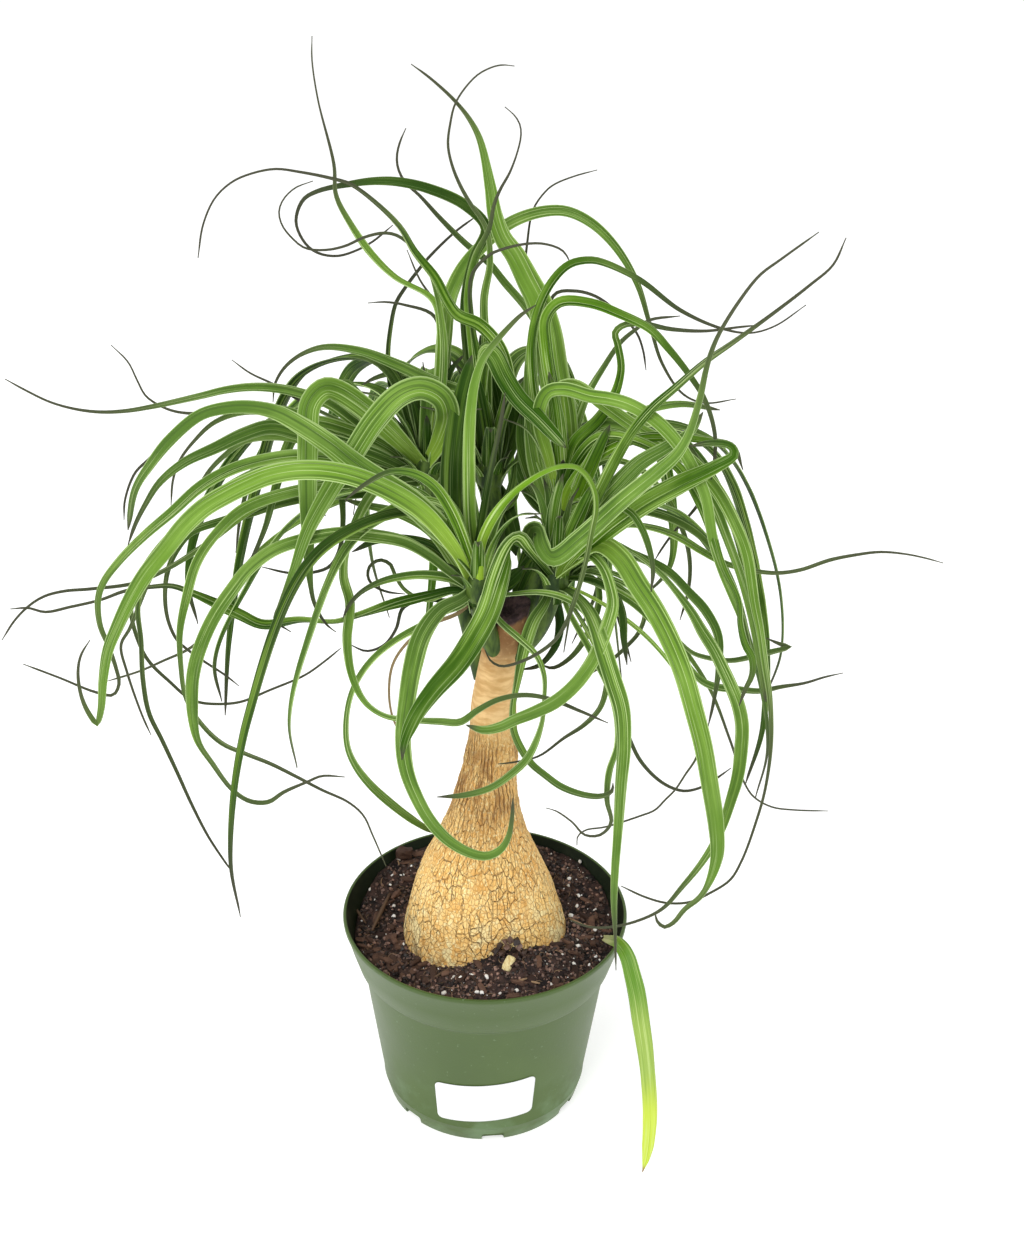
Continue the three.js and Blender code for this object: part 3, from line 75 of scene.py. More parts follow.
# ---------------------------------------------------------------- studio
# A white sweep under a white sky and large soft lights: bright and almost shadowless.
# The sweep glows a little, so that it stays white away from the lights.
FLOOR_SIZE = 14
FLOOR_GLOW = 0.5
SKY_STRENGTH = 0.64
LIGHTS = {  # place, where it points, size, power
    "soft_key": ((-1.0, -2.1, 2.3), (0, 0, 0.3), 1.5, 42),
    "soft_right": ((2.0, -0.3, 1.1), (0, 0, 0.2), 1.4, 13),
    "soft_left": ((-2.1, 0.0, 1.0), (0, 0, 0.2), 1.4, 12),
}
sky = bpy.data.worlds.new("sky")
sky.use_nodes = True
sky.node_tree.nodes["Background"].inputs["Color"].default_value = (1, 1, 1, 1)
sky.node_tree.nodes["Background"].inputs["Strength"].default_value = SKY_STRENGTH
bpy.context.scene.world = sky
bpy.context.scene.view_settings.view_transform = "Standard"
for name, (place, target, size, power) in LIGHTS.items():
    lamp = bpy.data.lights.new(name, "AREA")
    lamp.shape = "DISK"
    lamp.size = size
    lamp.energy = power
    holder = bpy.data.objects.new(name, lamp)
    aim = (Vector(target) - Vector(place)).to_track_quat("-Z", "Y")
    holder.matrix_world = Matrix.Translation(place) @ aim.to_matrix().to_4x4()
    bpy.context.scene.collection.objects.link(holder)


def new_piece(name, bm, materials, smooth=True):
    """The bmesh as an object at the origin, in its materials."""
    mesh = bpy.data.meshes.new(name)
    bm.to_mesh(mesh)
    bm.free()
    for material in materials:
        mesh.materials.append(material)
    mesh.shade_smooth() if smooth else mesh.shade_flat()
    piece = bpy.data.objects.new(name, mesh)
    bpy.context.scene.collection.objects.link(piece)
    return piece


def plain_material(name, colour, roughness, specular):
    material = bpy.data.materials.new(name)
    material.use_nodes = True
    skin = material.node_tree.nodes["Principled BSDF"]
    skin.inputs["Base Color"].default_value = (*colour, 1)
    skin.inputs["Roughness"].default_value = roughness
    skin.inputs["Specular IOR Level"].default_value = specular
    return material


bm = bmesh.new()
bmesh.ops.create_grid(bm, x_segments=1, y_segments=1, size=FLOOR_SIZE / 2)
sweep = plain_material("white_sweep", (0.8, 0.8, 0.8), 0.9, 0.1)
sweep.node_tree.nodes["Principled BSDF"].inputs["Emission Color"].default_value = (1, 1, 1, 1)
sweep.node_tree.nodes["Principled BSDF"].inputs["Emission Strength"].default_value = FLOOR_GLOW
floor = new_piece("floor", bm, [sweep])


# ---------------------------------------------------------------- pot
# One thin injection moulding in dusty green plastic: foot ring with drain notches through its
# corner, tapering wall, a small ledge and a stiffer flared band round the mouth.
RIM_RADIUS, POT_HEIGHT = 76.2, 115
BAND_BOTTOM, BAND_BOTTOM_RADIUS = 88, 69
WALL_TOP_RADIUS = 66
SEAM_HEIGHT, SEAM_RADIUS = 10.6, 56
FOOT_RADIUS = 53.5
WALL, FLOOR = 1.7, 2.2
NOTCH_COUNT, FIRST_NOTCH = 7, math.radians(-83.5)
NOTCH_WIDTH, NOTCH_HEIGHT, NOTCH_DEPTH, NOTCH_ROUND = 12, 5, 7, 1.2
POT_STEPS = 180
SHARP = math.radians(38)

# Radius and height, from the middle of the bottom up the outside, over the rim and down the inside.
outline = [
    (0, 0.8), (FOOT_RADIUS - 6, 0.8), (FOOT_RADIUS - 4.5, 0), (FOOT_RADIUS - 0.6, 0),
    (FOOT_RADIUS, 0.5), (FOOT_RADIUS + 1.5, 6.2),
    (SEAM_RADIUS - 0.45, SEAM_HEIGHT - 0.9), (SEAM_RADIUS + 0.05, SEAM_HEIGHT - 0.4),
    (SEAM_RADIUS + 0.1, SEAM_HEIGHT + 0.2), (SEAM_RADIUS - 0.1, SEAM_HEIGHT + 0.8),
    (SEAM_RADIUS + 4.6, 46),
    (WALL_TOP_RADIUS - 0.25, BAND_BOTTOM - 4), (WALL_TOP_RADIUS + 0.25, BAND_BOTTOM - 2.2),
    (BAND_BOTTOM_RADIUS - 0.7, BAND_BOTTOM - 0.6), (BAND_BOTTOM_RADIUS, BAND_BOTTOM + 0.6),
    (BAND_BOTTOM_RADIUS + 3.4, 100),
    (RIM_RADIUS - 0.9, POT_HEIGHT - 3.6), (RIM_RADIUS - 0.15, POT_HEIGHT - 2.3),
    (RIM_RADIUS, POT_HEIGHT - 1.2), (RIM_RADIUS - 0.3, POT_HEIGHT - 0.3), (RIM_RADIUS - 1, POT_HEIGHT),
    (RIM_RADIUS - WALL, POT_HEIGHT - 0.3), (RIM_RADIUS - WALL - 0.3, POT_HEIGHT - 1.2),
    (BAND_BOTTOM_RADIUS - WALL, BAND_BOTTOM), (WALL_TOP_RADIUS - WALL, BAND_BOTTOM - 2),
    (SEAM_RADIUS - WALL, SEAM_HEIGHT), (FOOT_RADIUS - WALL, FLOOR), (0, FLOOR),
]


def turn_on_axis(bm, places, steps, merge=1e-6):
    """The line through the places, turned once round the Z axis."""
    points = [bm.verts.new(place) for place in places]
    lines = [bm.edges.new(pair) for pair in zip(points, points[1:])]
    bmesh.ops.spin(
        bm, geom=points + lines, axis=(0, 0, 1), cent=(0, 0, 0), angle=math.tau, steps=steps,
        use_merge=True,
    )
    bmesh.ops.remove_doubles(bm, verts=bm.verts, dist=merge)


def sized(size):
    """Stretches a shape one unit across to this size in mm."""
    return Matrix.Diagonal((*(length * MM for length in size), 1))


class Finish:
    """A material whose nodes are added one after another."""

    def __init__(self, name, roughness, specular):
        self.material = plain_material(name, (0.5, 0.5, 0.5), roughness, specular)
        self.tree = self.material.node_tree
        self.skin = self.tree.nodes["Principled BSDF"]
        self.place = self.tree.nodes.new("ShaderNodeTexCoord").outputs["Object"]

    def node(self, kind, **settings):
        made = self.tree.nodes.new("ShaderNode" + kind)
        for key, value in settings.items():
            setattr(made, key, value)
        return made

    def link(self, source, socket):
        self.tree.links.new(source, socket)

    def stretched(self, source, scale):
        mapping = self.node("Mapping")
        mapping.inputs["Scale"].default_value = scale
        self.link(source, mapping.inputs["Vector"])
        return mapping.outputs["Vector"]

    def noise(self, scale, detail=3, source=None):
        made = self.node("TexNoise")
        made.inputs["Scale"].default_value = scale
        made.inputs["Detail"].default_value = detail
        made.inputs["Roughness"].default_value = 0.55
        self.link(source or self.place, made.inputs["Vector"])
        return made.outputs["Fac"]

    def wandering(self, scale, far, source=None):
        """The source's place, led astray by noise."""
        drift = self.node("TexNoise")
        drift.inputs["Scale"].default_value = scale
        self.link(self.place, drift.inputs["Vector"])
        moved = self.node("VectorMath", operation="MULTIPLY_ADD")
        self.link(drift.outputs["Color"], moved.inputs[0])
        moved.inputs[1].default_value = (far, far, far)
        self.link(source or self.place, moved.inputs[2])
        return moved.outputs[0]

    def cells(self, scale, source, feature="F1", output="Distance"):
        made = self.node("TexVoronoi", feature=feature, voronoi_dimensions="2D")
        made.inputs["Scale"].default_value = scale
        self.link(source, made.inputs["Vector"])
        return made.outputs[output]

    def cloudy(self, scale, detail, *limits):
        """Noise as a share: none below the first limit, all above the second."""
        return self.between(self.noise(scale, detail), *limits)

    def attribute(self, name):
        return self.node("Attribute", attribute_name=name).outputs["Fac"]

    def between(self, source, low, high, to_low=0.0, to_high=1.0):
        made = self.node("MapRange", interpolation_type="SMOOTHSTEP")
        for name, value in zip(("From Min", "From Max", "To Min", "To Max"), (low, high, to_low, to_high)):
            made.inputs[name].default_value = value
        self.link(source, made.inputs["Value"])
        return made.outputs["Result"]

    def mixed(self, share, first, second):
        made = self.node("Mix", data_type="RGBA")
        for socket, value in ((0, share), (6, first), (7, second)):
            if isinstance(value, bpy.types.NodeSocket):
                self.link(value, made.inputs[socket])
            else:
                made.inputs[socket].default_value = (*value, 1) if isinstance(value, tuple) else value
        return made.outputs[2]

    def product(self, first, second, operation="MULTIPLY"):
        made = self.node("Math", operation=operation)
        for socket, value in enumerate((first, second)):
            if isinstance(value, bpy.types.NodeSocket):
                self.link(value, made.inputs[socket])
            else:
                made.inputs[socket].default_value = value
        return made.outputs[0]

    def coloured(self, colour):
        self.link(colour, self.skin.inputs["Base Color"])

    def bumped(self, height, strength, distance):
        bump = self.node("Bump")
        bump.inputs["Strength"].default_value = strength
        bump.inputs["Distance"].default_value = distance
        self.link(height, bump.inputs["Height"])
        if self.skin.inputs["Normal"].is_linked:
            self.link(self.skin.inputs["Normal"].links[0].from_socket, bump.inputs["Normal"])
        self.link(bump.outputs["Normal"], self.skin.inputs["Normal"])


bm = bmesh.new()
turn_on_axis(bm, [(r * MM, 0, z * MM) for r, z in outline], POT_STEPS)
bmesh.ops.recalc_face_normals(bm, faces=bm.faces)
# Faces inside the wall, above the floor and below the lip, take the second material: the same plastic painted
# near black as the shade inside the pot.
for face in bm.faces:
    middle = face.calc_center_median()
    inward = face.normal.xy.dot(middle.xy) < 0 and middle.z > FLOOR * MM
    face.material_index = int(inward and middle.z < (POT_HEIGHT - 0.7) * MM)
pot_green = Finish("dusty_green_plastic", 0.42, 0.38)
cloud = pot_green.noise(11, 4)
speck = pot_green.noise(420, 2)
green = pot_green.mixed(pot_green.between(cloud, 0.35, 0.68), (0.058, 0.101, 0.020), (0.076, 0.126, 0.030))
green = pot_green.mixed(pot_green.between(speck, 0.66, 0.78, 0, 0.3), green, (0.22, 0.32, 0.18))
height = pot_green.node("SeparateXYZ")
pot_green.link(pot_green.place, height.inputs[0])
haze = pot_green.between(height.outputs["Z"], 0.05, 0.0, 0, 0.5)
haze = pot_green.product(haze, pot_green.cloudy(60, 3, 0.4, 0.7))
green = pot_green.mixed(haze, green, (0.17, 0.27, 0.14))
pot_green.coloured(green)
pot_green.link(pot_green.between(cloud, 0.3, 0.7, 0.36, 0.5), pot_green.skin.inputs["Roughness"])
pot_green.bumped(pot_green.noise(900, 2), 0.12, 0.0004)
# Painted shade: the inside of the wall is the pot's own green plastic, coloured near black for the shade that
# falls in the pot, mottled by noise.
inner_shade = Finish("inner_wall_painted_shade", 0.5, 0.2)
inner_shade_mottle = inner_shade.cloudy(90, 4, 0.45, 0.7)
inner_shade.coloured(inner_shade.mixed(inner_shade_mottle, (0.008, 0.015, 0.007), (0.020, 0.029, 0.015)))
inner_shade.bumped(inner_shade.noise(500, 3), 0.2, 0.0004)
pot = new_piece("nursery_pot", bm, [pot_green.material, inner_shade.material])

bm = bmesh.new()
for i in range(NOTCH_COUNT):
    turn = FIRST_NOTCH + math.tau * i / NOTCH_COUNT
    place = (
        Matrix.Rotation(turn, 4, "Z")
        @ Matrix.Translation(Vector((FOOT_RADIUS + 0.5, 0, (NOTCH_HEIGHT - 1) / 2)) * MM)
        @ sized((NOTCH_DEPTH, NOTCH_WIDTH, NOTCH_HEIGHT + 1))
    )
    block = bmesh.ops.create_cube(bm, size=1, matrix=place)["verts"]
    upright = [e for e in bm.edges if all(v in block for v in e.verts)]
    bmesh.ops.bevel(
        bm, geom=upright, offset=NOTCH_ROUND * MM, segments=3, profile=0.5, affect="EDGES", material=-1
    )
notches = new_piece("notch_cutter", bm, [])
cut = pot.modifiers.new("notches", "BOOLEAN")
cut.object, cut.operation, cut.solver = notches, "DIFFERENCE", "EXACT"


def settled(piece):
    """Makes what the modifiers do part of the piece's own mesh."""
    shaped = bpy.data.meshes.new_from_object(piece.evaluated_get(bpy.context.evaluated_depsgraph_get()))
    piece.modifiers.clear()
    piece.data = shaped
    return piece


settled(pot).data.set_sharp_from_angle(angle=SHARP)
bpy.data.objects.remove(notches)
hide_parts("pot")
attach(pot, "root")


# ---------------------------------------------------------------- label
# A bare white paper sticker with round corners, pressed round the lower front of the wall and a
# little askew.
LABEL_TURN = (math.radians(-114.5), math.radians(-62.5))
LABEL_HEIGHTS = (17, 45)
LABEL_LEAN = 4.6
LABEL_CORNER = 3.2
LABEL_LIFT, PAPER_THICK = 0.5, 0.3
LABEL_STEPS = (72, 36)


def wall_radius(z):
    share = (z - SEAM_HEIGHT) / (BAND_BOTTOM - 2 - SEAM_HEIGHT)
    return SEAM_RADIUS + share * (WALL_TOP_RADIUS - SEAM_RADIUS)


def round_corner(along, up, half_long, half_high):
    """A point of a rectangle, drawn in where it lies outside the round corner."""
    x = abs(along) - (half_long - LABEL_CORNER)
    y = abs(up) - (half_high - LABEL_CORNER)
    if x <= 0 or y <= 0:
        return along, up
    reach = max(x, y) / math.hypot(x, y)
    return (
        math.copysign(half_long - LABEL_CORNER + x * reach, along),
        math.copysign(half_high - LABEL_CORNER + y * reach, up),
    )


def thicken(sheet, thickness, inner_slot=0):
    """Gives a sheet its thickness, inwards from the face that shows."""
    thick = sheet.modifiers.new("thick", "SOLIDIFY")
    thick.thickness, thick.offset, thick.material_offset = thickness * MM, -1, inner_slot


bm = bmesh.new()
bmesh.ops.create_grid(bm, x_segments=LABEL_STEPS[0], y_segments=LABEL_STEPS[1], size=1)
label_high = (LABEL_HEIGHTS[1] - LABEL_HEIGHTS[0]) / 2
label_middle = (LABEL_HEIGHTS[1] + LABEL_HEIGHTS[0]) / 2
label_long = (LABEL_TURN[1] - LABEL_TURN[0]) / 2 * wall_radius(label_middle)
for v in bm.verts:
    along, up = round_corner(v.co.x * label_long, v.co.y * label_high, label_long, label_high)
    z = label_middle + up + LABEL_LEAN * along / label_long / 2
    turn = sum(LABEL_TURN) / 2 + along / wall_radius(label_middle)
    r = wall_radius(z) + LABEL_LIFT + 0.06 * noise.noise(Vector((along / 9, up / 7, 4)))
    v.co = Vector((r * math.cos(turn), r * math.sin(turn), z)) * MM
paper = Finish("sticker_paper", 0.55, 0.4)
paper.coloured(paper.mixed(paper.noise(260, 4), (0.80, 0.81, 0.82), (0.90, 0.91, 0.92)))
paper.bumped(paper.noise(120, 3), 0.15, 0.0003)
label = new_piece("paper_label", bm, [paper.material])
thicken(label, PAPER_THICK)
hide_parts("label")
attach(label, "root")


# ---------------------------------------------------------------- soil
# Moist dark potting mix: a lumpy bed, thousands of crumbs, chips of pine bark, root fibres and
# white grit. It climbs towards the back and is heaped against the front of the trunk.
SOIL_LEVEL, BACK_RISE, BACK_REACH = 100, 9.5, 55
HEAP = (14, -36, 32, 17)  # its place, spread and height
LUMP_WIDTH, LUMP_HEIGHT = 9, 1.1
CLOD_WIDTH, CLOD_HEIGHT = 2.4, 0.6
SOIL_HOLE, SOIL_BOTTOM = 28, 2.7
SOIL_ROWS, SOIL_STEPS = 70, 420
WALL_SLOPE = (RIM_RADIUS - BAND_BOTTOM_RADIUS) / (POT_HEIGHT - BAND_BOTTOM)
CRUMBS, CHIPS, FIBRES, SMALL_GRIT = 3600, 130, 150, 190
CRUMB_SIZE, GRIT_SIZE = (0.8, 2.7), (1.4, 2.7)
BARK_CHIP_SIZE = ((4, 12), (1.5, 4.2), (0.8, 2.2))  # its length, width and thickness
FIBRE_POINTS, FIBRE_STEP, FIBRE_RADIUS = 6, 1.2, (0.12, 0.26)
CRUMBS_FROM, CHIPS_FROM, GRIT_FROM = 39, 43, 44  # how near the pot's axis they lie
rng = np.random.default_rng(11)


def smoothstep(value, low, high):
    share = min(max((value - low) / (high - low), 0.0), 1.0)
    return share * share * (3 - 2 * share)


def bed(x, y):
    """How high the soil's surface is here."""
    level = SOIL_LEVEL + BACK_RISE * smoothstep(y, 0, BACK_REACH)
    heap = HEAP[3] * math.exp(-((x - HEAP[0]) ** 2 + (y - HEAP[1]) ** 2) / HEAP[2] ** 2)
    lumps = LUMP_HEIGHT * noise.fractal(Vector((x / LUMP_WIDTH, y / LUMP_WIDTH, 2)), 0.9, 2.1, 4)
    clods = CLOD_HEIGHT * noise.noise(Vector((x / CLOD_WIDTH, y / CLOD_WIDTH, 7)))
    return level + heap + lumps + clods


def soil_edge(turn):
    """How far out the surface meets the pot's sloping wall."""
    edge = BAND_BOTTOM_RADIUS
    for _ in range(3):
        high = bed(edge * math.cos(turn), edge * math.sin(turn)) - BAND_BOTTOM
        edge = BAND_BOTTOM_RADIUS - WALL - 0.3 + high * WALL_SLOPE
    return edge


bm = bmesh.new()
turn_on_axis(bm, [(SOIL_HOLE + i / SOIL_ROWS, 0, 0) for i in range(SOIL_ROWS + 1)], SOIL_STEPS)
for v in bm.verts:
    turn = math.atan2(v.co.y, v.co.x)
    r = SOIL_HOLE + (v.co.length - SOIL_HOLE) * (soil_edge(turn) - SOIL_HOLE)
    x, y = r * math.cos(turn), r * math.sin(turn)
    v.co = Vector((x, y, bed(x, y))) * MM
outer = [e for e in bm.edges if e.is_boundary and e.verts[0].co.xy.length > 1.5 * SOIL_HOLE * MM]
for r, z in (
    (BAND_BOTTOM_RADIUS - WALL - 0.5, BAND_BOTTOM),
    (WALL_TOP_RADIUS - WALL - 0.5, BAND_BOTTOM - 2),
    (SEAM_RADIUS - WALL - 0.5, SEAM_HEIGHT),
    (FOOT_RADIUS - WALL - 0.5, SOIL_BOTTOM),
):
    made = bmesh.ops.extrude_edge_only(bm, edges=outer)["geom"]
    for v in made:
        if isinstance(v, bmesh.types.BMVert):
            v.co.xy = v.co.xy.normalized() * r * MM
            v.co.z = z * MM
    outer = [e for e in made if isinstance(e, bmesh.types.BMEdge) and e.is_boundary]
bmesh.ops.contextual_create(bm, geom=outer)
bmesh.ops.contextual_create(bm, geom=[e for e in bm.edges if e.is_boundary])
bmesh.ops.recalc_face_normals(bm, faces=bm.faces)
peat = Finish("moist_soil", 0.78, 0.35)
clod = peat.noise(160, 5)
brown = peat.mixed(peat.between(clod, 0.36, 0.64), (0.006, 0.003, 0.003), (0.060, 0.031, 0.024))
brown = peat.mixed(peat.cloudy(700, 3, 0.6, 0.75, 0, 0.6), brown, (0.16, 0.085, 0.06))
peat.coloured(brown)
peat.bumped(clod, 0.8, 0.0015)
peat.bumped(peat.noise(800, 3), 0.6, 0.0005)
soil_bed = new_piece("soil_bed", bm, [peat.material])
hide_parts("soil")
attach(soil_bed, "root")


def lying(x, y, size, sink, tilt):
    """A place on the soil, turned at random and tilted, for a crumb or chip of that size."""
    return (
        Matrix.Translation(Vector((x, y, bed(x, y) + size[2] * (0.5 - sink))) * MM)
        @ Matrix.Rotation(rng.uniform(0, math.tau), 4, "Z")
        @ Matrix.Rotation(rng.normal(0, tilt), 4, "X")
        @ Matrix.Rotation(rng.normal(0, tilt), 4, "Y")
        @ sized(size)
    )


def spot_on_soil(low, margin=1.2):
    """A random place between the trunk and the wall."""
    turn = rng.uniform(0, math.tau)
    r = math.sqrt(rng.uniform(low**2, (soil_edge(turn) - margin) ** 2))
    return r * math.cos(turn), r * math.sin(turn)


def toned_mesh():
    """A new bmesh whose points hold the tone that its material reads."""
    bm = bmesh.new()
    bm.verts.layers.float.new("tone")
    return bm


def lump(bm, place, tone, ragged, squareness=0.0, finer=1):
    """A rough lump one unit across before it is put in its place: a ball, or nearer a block."""
    tones = bm.verts.layers.float["tone"]
    for v in bmesh.ops.create_icosphere(bm, subdivisions=finer, radius=0.5)["verts"]:
        square = 0.5 / max(abs(c) for c in v.co)
        v.co = place @ (v.co * square**squareness + Vector(rng.normal(0, ragged / 2, 3)))
        v[tones] = tone


bm = toned_mesh()
for i in range(CRUMBS):
    size = rng.uniform(*CRUMB_SIZE) * np.array([1, rng.uniform(0.6, 1), rng.uniform(0.5, 0.9)])
    lump(bm, lying(*spot_on_soil(CRUMBS_FROM), size, 0.25, 0.5), rng.uniform() ** 3, 0.16)
FORWARD = np.array([0, math.cos(LOOK_DOWN), -math.sin(LOOK_DOWN)])
LEVEL, UPRIGHT = np.array([1.0, 0, 0]), np.array([0, math.sin(LOOK_DOWN), math.cos(LOOK_DOWN)])
ACROSS = LEVEL * math.cos(EYE_LEAN) + UPRIGHT * math.sin(EYE_LEAN)
UPWARDS = UPRIGHT * math.cos(EYE_LEAN) - LEVEL * math.sin(EYE_LEAN)
# Clods stuck to the trunk's foot: across and down in the eye's picture.
CLOD_DEPTH = -41  # mm behind the pot's axis
CLODS = [
    (496, 951), (500, 945), (505, 941), (511, 940), (516, 942), (520, 947), (508, 947), (514, 950),
    (502, 952), (523, 953),
]


def seen(x, y, depth):
    """The place that shows at this spot of the picture, that far behind the pot's axis."""
    sight = FORWARD + ACROSS * (x - PICTURE_WIDTH / 2) / EYE_LENGTH
    sight = sight + UPWARDS * (PICTURE_HEIGHT / 2 - y) / EYE_LENGTH
    return EYE + sight * ((depth - EYE[1]) / sight[1])


for x, y in CLODS:
    place = Matrix.Translation(Vector(seen(x, y, CLOD_DEPTH)) * MM) @ Matrix.Scale(rng.uniform(3, 5) * MM, 4)
    lump(bm, place, rng.uniform(0, 0.5), 0.2)
crumb_skin = Finish("soil_crumb", 0.5, 0.5)
crumb = crumb_skin.mixed(crumb_skin.attribute("tone"), (0.008, 0.004, 0.003), (0.38, 0.22, 0.165))
specks = crumb_skin.cloudy(500, 3, 0.4, 0.7, 0, 0.5)
crumb_skin.coloured(crumb_skin.mixed(specks, crumb, (0.03, 0.015, 0.01)))
crumb_skin.bumped(crumb_skin.noise(900, 2), 0.5, 0.0005)
crumbs = new_piece("soil_crumbs", bm, [crumb_skin.material], smooth=False)
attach(crumbs, "root")

bm = toned_mesh()
for i in range(CHIPS):
    x, y = spot_on_soil(CHIPS_FROM, 4)
    if x > -15 and rng.uniform() < 0.4:  # more bark lies on the left
        x = -abs(x)
    size = [rng.uniform(*limits) for limits in BARK_CHIP_SIZE]
    lump(bm, lying(x, y, size, 0.1, 0.2), rng.uniform(), 0.07, 0.75, 2)
BIG_CHIP, BIG_CHIP_SIZE = (-46.5, 51.5, 113.5), (9, 6, 7)
lump(bm, Matrix.Translation(Vector(BIG_CHIP) * MM) @ sized(BIG_CHIP_SIZE), 0.3, 0.1, 0.7, 2)
chip_skin = Finish("pine_bark_chip", 0.75, 0.3)
chip = chip_skin.mixed(chip_skin.attribute("tone"), (0.024, 0.012, 0.009), (0.15, 0.080, 0.052))
streaks = chip_skin.cloudy(300, 4, 0.4, 0.68, 0, 0.6)
chip_skin.coloured(chip_skin.mixed(streaks, chip, (0.045, 0.02, 0.013)))
chip_skin.bumped(chip_skin.noise(420, 4), 0.6, 0.0006)
chips = new_piece("bark_chips", bm, [chip_skin.material], smooth=False)
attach(chips, "root")

# Where the bigger bits show from the front: across and down in the eye's picture.
GRIT = [
    (394, 907), (394, 917), (497, 947), (472, 976), (460, 979), (487, 978), (477, 993), (482, 994),
    (500, 994), (393, 972), (444, 994), (578, 896), (577, 974), (563, 850), (580, 863), (569, 880),
    (579, 897), (577, 907), (595, 911), (571, 917), (595, 931), (578, 947), (574, 965),
]
STICKS = {  # from, to, thickness
    "dark": [((372, 933), (390, 896), 2.4), ((425, 985), (452, 968), 1.4), ((352, 905), (366, 925), 1.6)],
    "pale": [
        ((396, 848), (399, 866), 1.1), ((515, 984), (527, 980), 1.6), ((531, 983), (540, 985), 1.4),
        ((568, 919), (584, 926), 1.2), ((584, 926), (604, 931), 1.2),
    ],
}

SOIL_DEPTHS = (-70, 62)  # how far the soil reaches to the front and to the back


def seen_on_soil(x, y):
    """The place on the soil that shows at this spot of the picture, found by halving."""
    near, far = SOIL_DEPTHS
    for _ in range(24):
        middle = (near + far) / 2
        place = seen(x, y, middle)
        near, far = (middle, far) if place[2] > bed(place[0], place[1]) else (near, middle)
    return place


def strand(bm, points, radius, tone, sides=4, taper=0.6):
    """A thin rod along the points, closed at both ends."""
    tones = bm.verts.layers.float["tone"]
    points = [Vector(p) for p in points]
    rings = []
    for i, p in enumerate(points):
        ahead = (points[min(i + 1, len(points) - 1)] - points[max(i - 1, 0)]).normalized()
        share = radius * (1 - (1 - taper) * abs(2 * i / (len(points) - 1) - 1))
        turned = Matrix.Translation(p * MM) @ ahead.to_track_quat("Z", "Y").to_matrix().to_4x4()
        ring = bmesh.ops.create_circle(bm, segments=sides, radius=share * MM, matrix=turned)["verts"]
        for v in ring:
            v[tones] = tone
        rings.append(ring)
    for near, far in zip(rings, rings[1:]):
        for k in range(sides):
            bm.faces.new((near[k], near[(k + 1) % sides], far[(k + 1) % sides], far[k]))
    bm.faces.new(rings[0][::-1])
    bm.faces.new(rings[-1])


bm = toned_mesh()
for x, y in GRIT:
    place = seen_on_soil(x, y)
    size = rng.uniform(*GRIT_SIZE) * np.array([1, rng.uniform(0.6, 1), rng.uniform(0.6, 0.9)])
    lump(bm, lying(place[0], place[1], size, 0.05, 0.4), rng.uniform(0.5, 1), 0.12, 0.4, 2)
for i in range(SMALL_GRIT):
    size = (0.6 + 1.6 * rng.uniform() ** 3) * np.array([1, rng.uniform(0.5, 1), rng.uniform(0.5, 0.9)])
    lump(bm, lying(*spot_on_soil(GRIT_FROM), size, 0.1, 0.4), rng.uniform() ** 0.5, 0.2, 0.3, 1)
grit_skin = Finish("white_grit", 0.65, 0.3)
grit_skin.coloured(grit_skin.mixed(grit_skin.attribute("tone"), (0.50, 0.42, 0.34), (0.97, 0.96, 0.92)))
grit_skin.bumped(grit_skin.noise(700, 3), 0.5, 0.0004)
grit = new_piece("white_grit", bm, [grit_skin.material])
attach(grit, "root")

bm = toned_mesh()
for kind, sticks in STICKS.items():
    for start, end, thickness in sticks:
        first, last = seen_on_soil(*start), seen_on_soil(*end)
        route = [first + (last - first) * share + [0, 0, 0.7 * thickness] for share in np.linspace(0, 1, 5)]
        strand(bm, route, thickness / 2, 0.2 if kind == "dark" else 0.85, sides=6)
for i in range(FIBRES):
    x, y = spot_on_soil(GRIT_FROM, 5)
    heading, bend = rng.uniform(0, math.tau), rng.normal(0, 0.5)
    route = []
    for _ in range(FIBRE_POINTS):
        route.append((x, y, bed(x, y) + 0.45 + rng.uniform(0, 0.5)))
        x, y = x + FIBRE_STEP * math.cos(heading), y + FIBRE_STEP * math.sin(heading)
        heading += bend
    strand(bm, route, rng.uniform(*FIBRE_RADIUS), rng.uniform(0.1, 0.9))
fibre_skin = Finish("root_fibre", 0.7, 0.3)
fibre = fibre_skin.mixed(fibre_skin.attribute("tone"), (0.045, 0.022, 0.014), (0.42, 0.27, 0.15))
stains = fibre_skin.cloudy(500, 3, 0.4, 0.7, 0, 0.4)
fibre_skin.coloured(fibre_skin.mixed(stains, fibre, (0.1, 0.06, 0.04)))
fibre_skin.bumped(fibre_skin.noise(600, 3), 0.4, 0.0003)
fibres = new_piece("fibres_and_sticks", bm, [fibre_skin.material])
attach(fibres, "root")


# ---------------------------------------------------------------- wood chip
# A clean chip split off a block of pale wood, its corners a little worn. It is stuck slantwise in
# the soil in front of the trunk.
CHIP_SIZE = (4.9, 8.4, 2.8)
CHIP_TURN, CHIP_LEAN = -0.6, 0.7
bm = toned_mesh()
low, high = (np.array(corner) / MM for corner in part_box("wood_chip"))
place = (
    Matrix.Translation(Vector((low + high) / 2) * MM)
    @ Matrix.Rotation(CHIP_TURN, 4, "Z")
    @ Matrix.Rotation(CHIP_LEAN, 4, "X")
    @ sized(CHIP_SIZE)
)
lump(bm, place, 0.5, 0.02, 0.72, 3)
wood_skin = Finish("split_wood", 0.7, 0.3)
grain = wood_skin.noise(220, 4, wood_skin.stretched(wood_skin.place, (5, 1, 3)))
grain_share = wood_skin.between(grain, 0.35, 0.65)
wood_skin.coloured(wood_skin.mixed(grain_share, (0.60, 0.44, 0.19), (0.84, 0.74, 0.40)))
wood_skin.bumped(grain, 0.6, 0.0005)
wood_chip = new_piece("split_wood_chip", bm, [wood_skin.material])
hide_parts("wood_chip")
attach(wood_chip, "root")


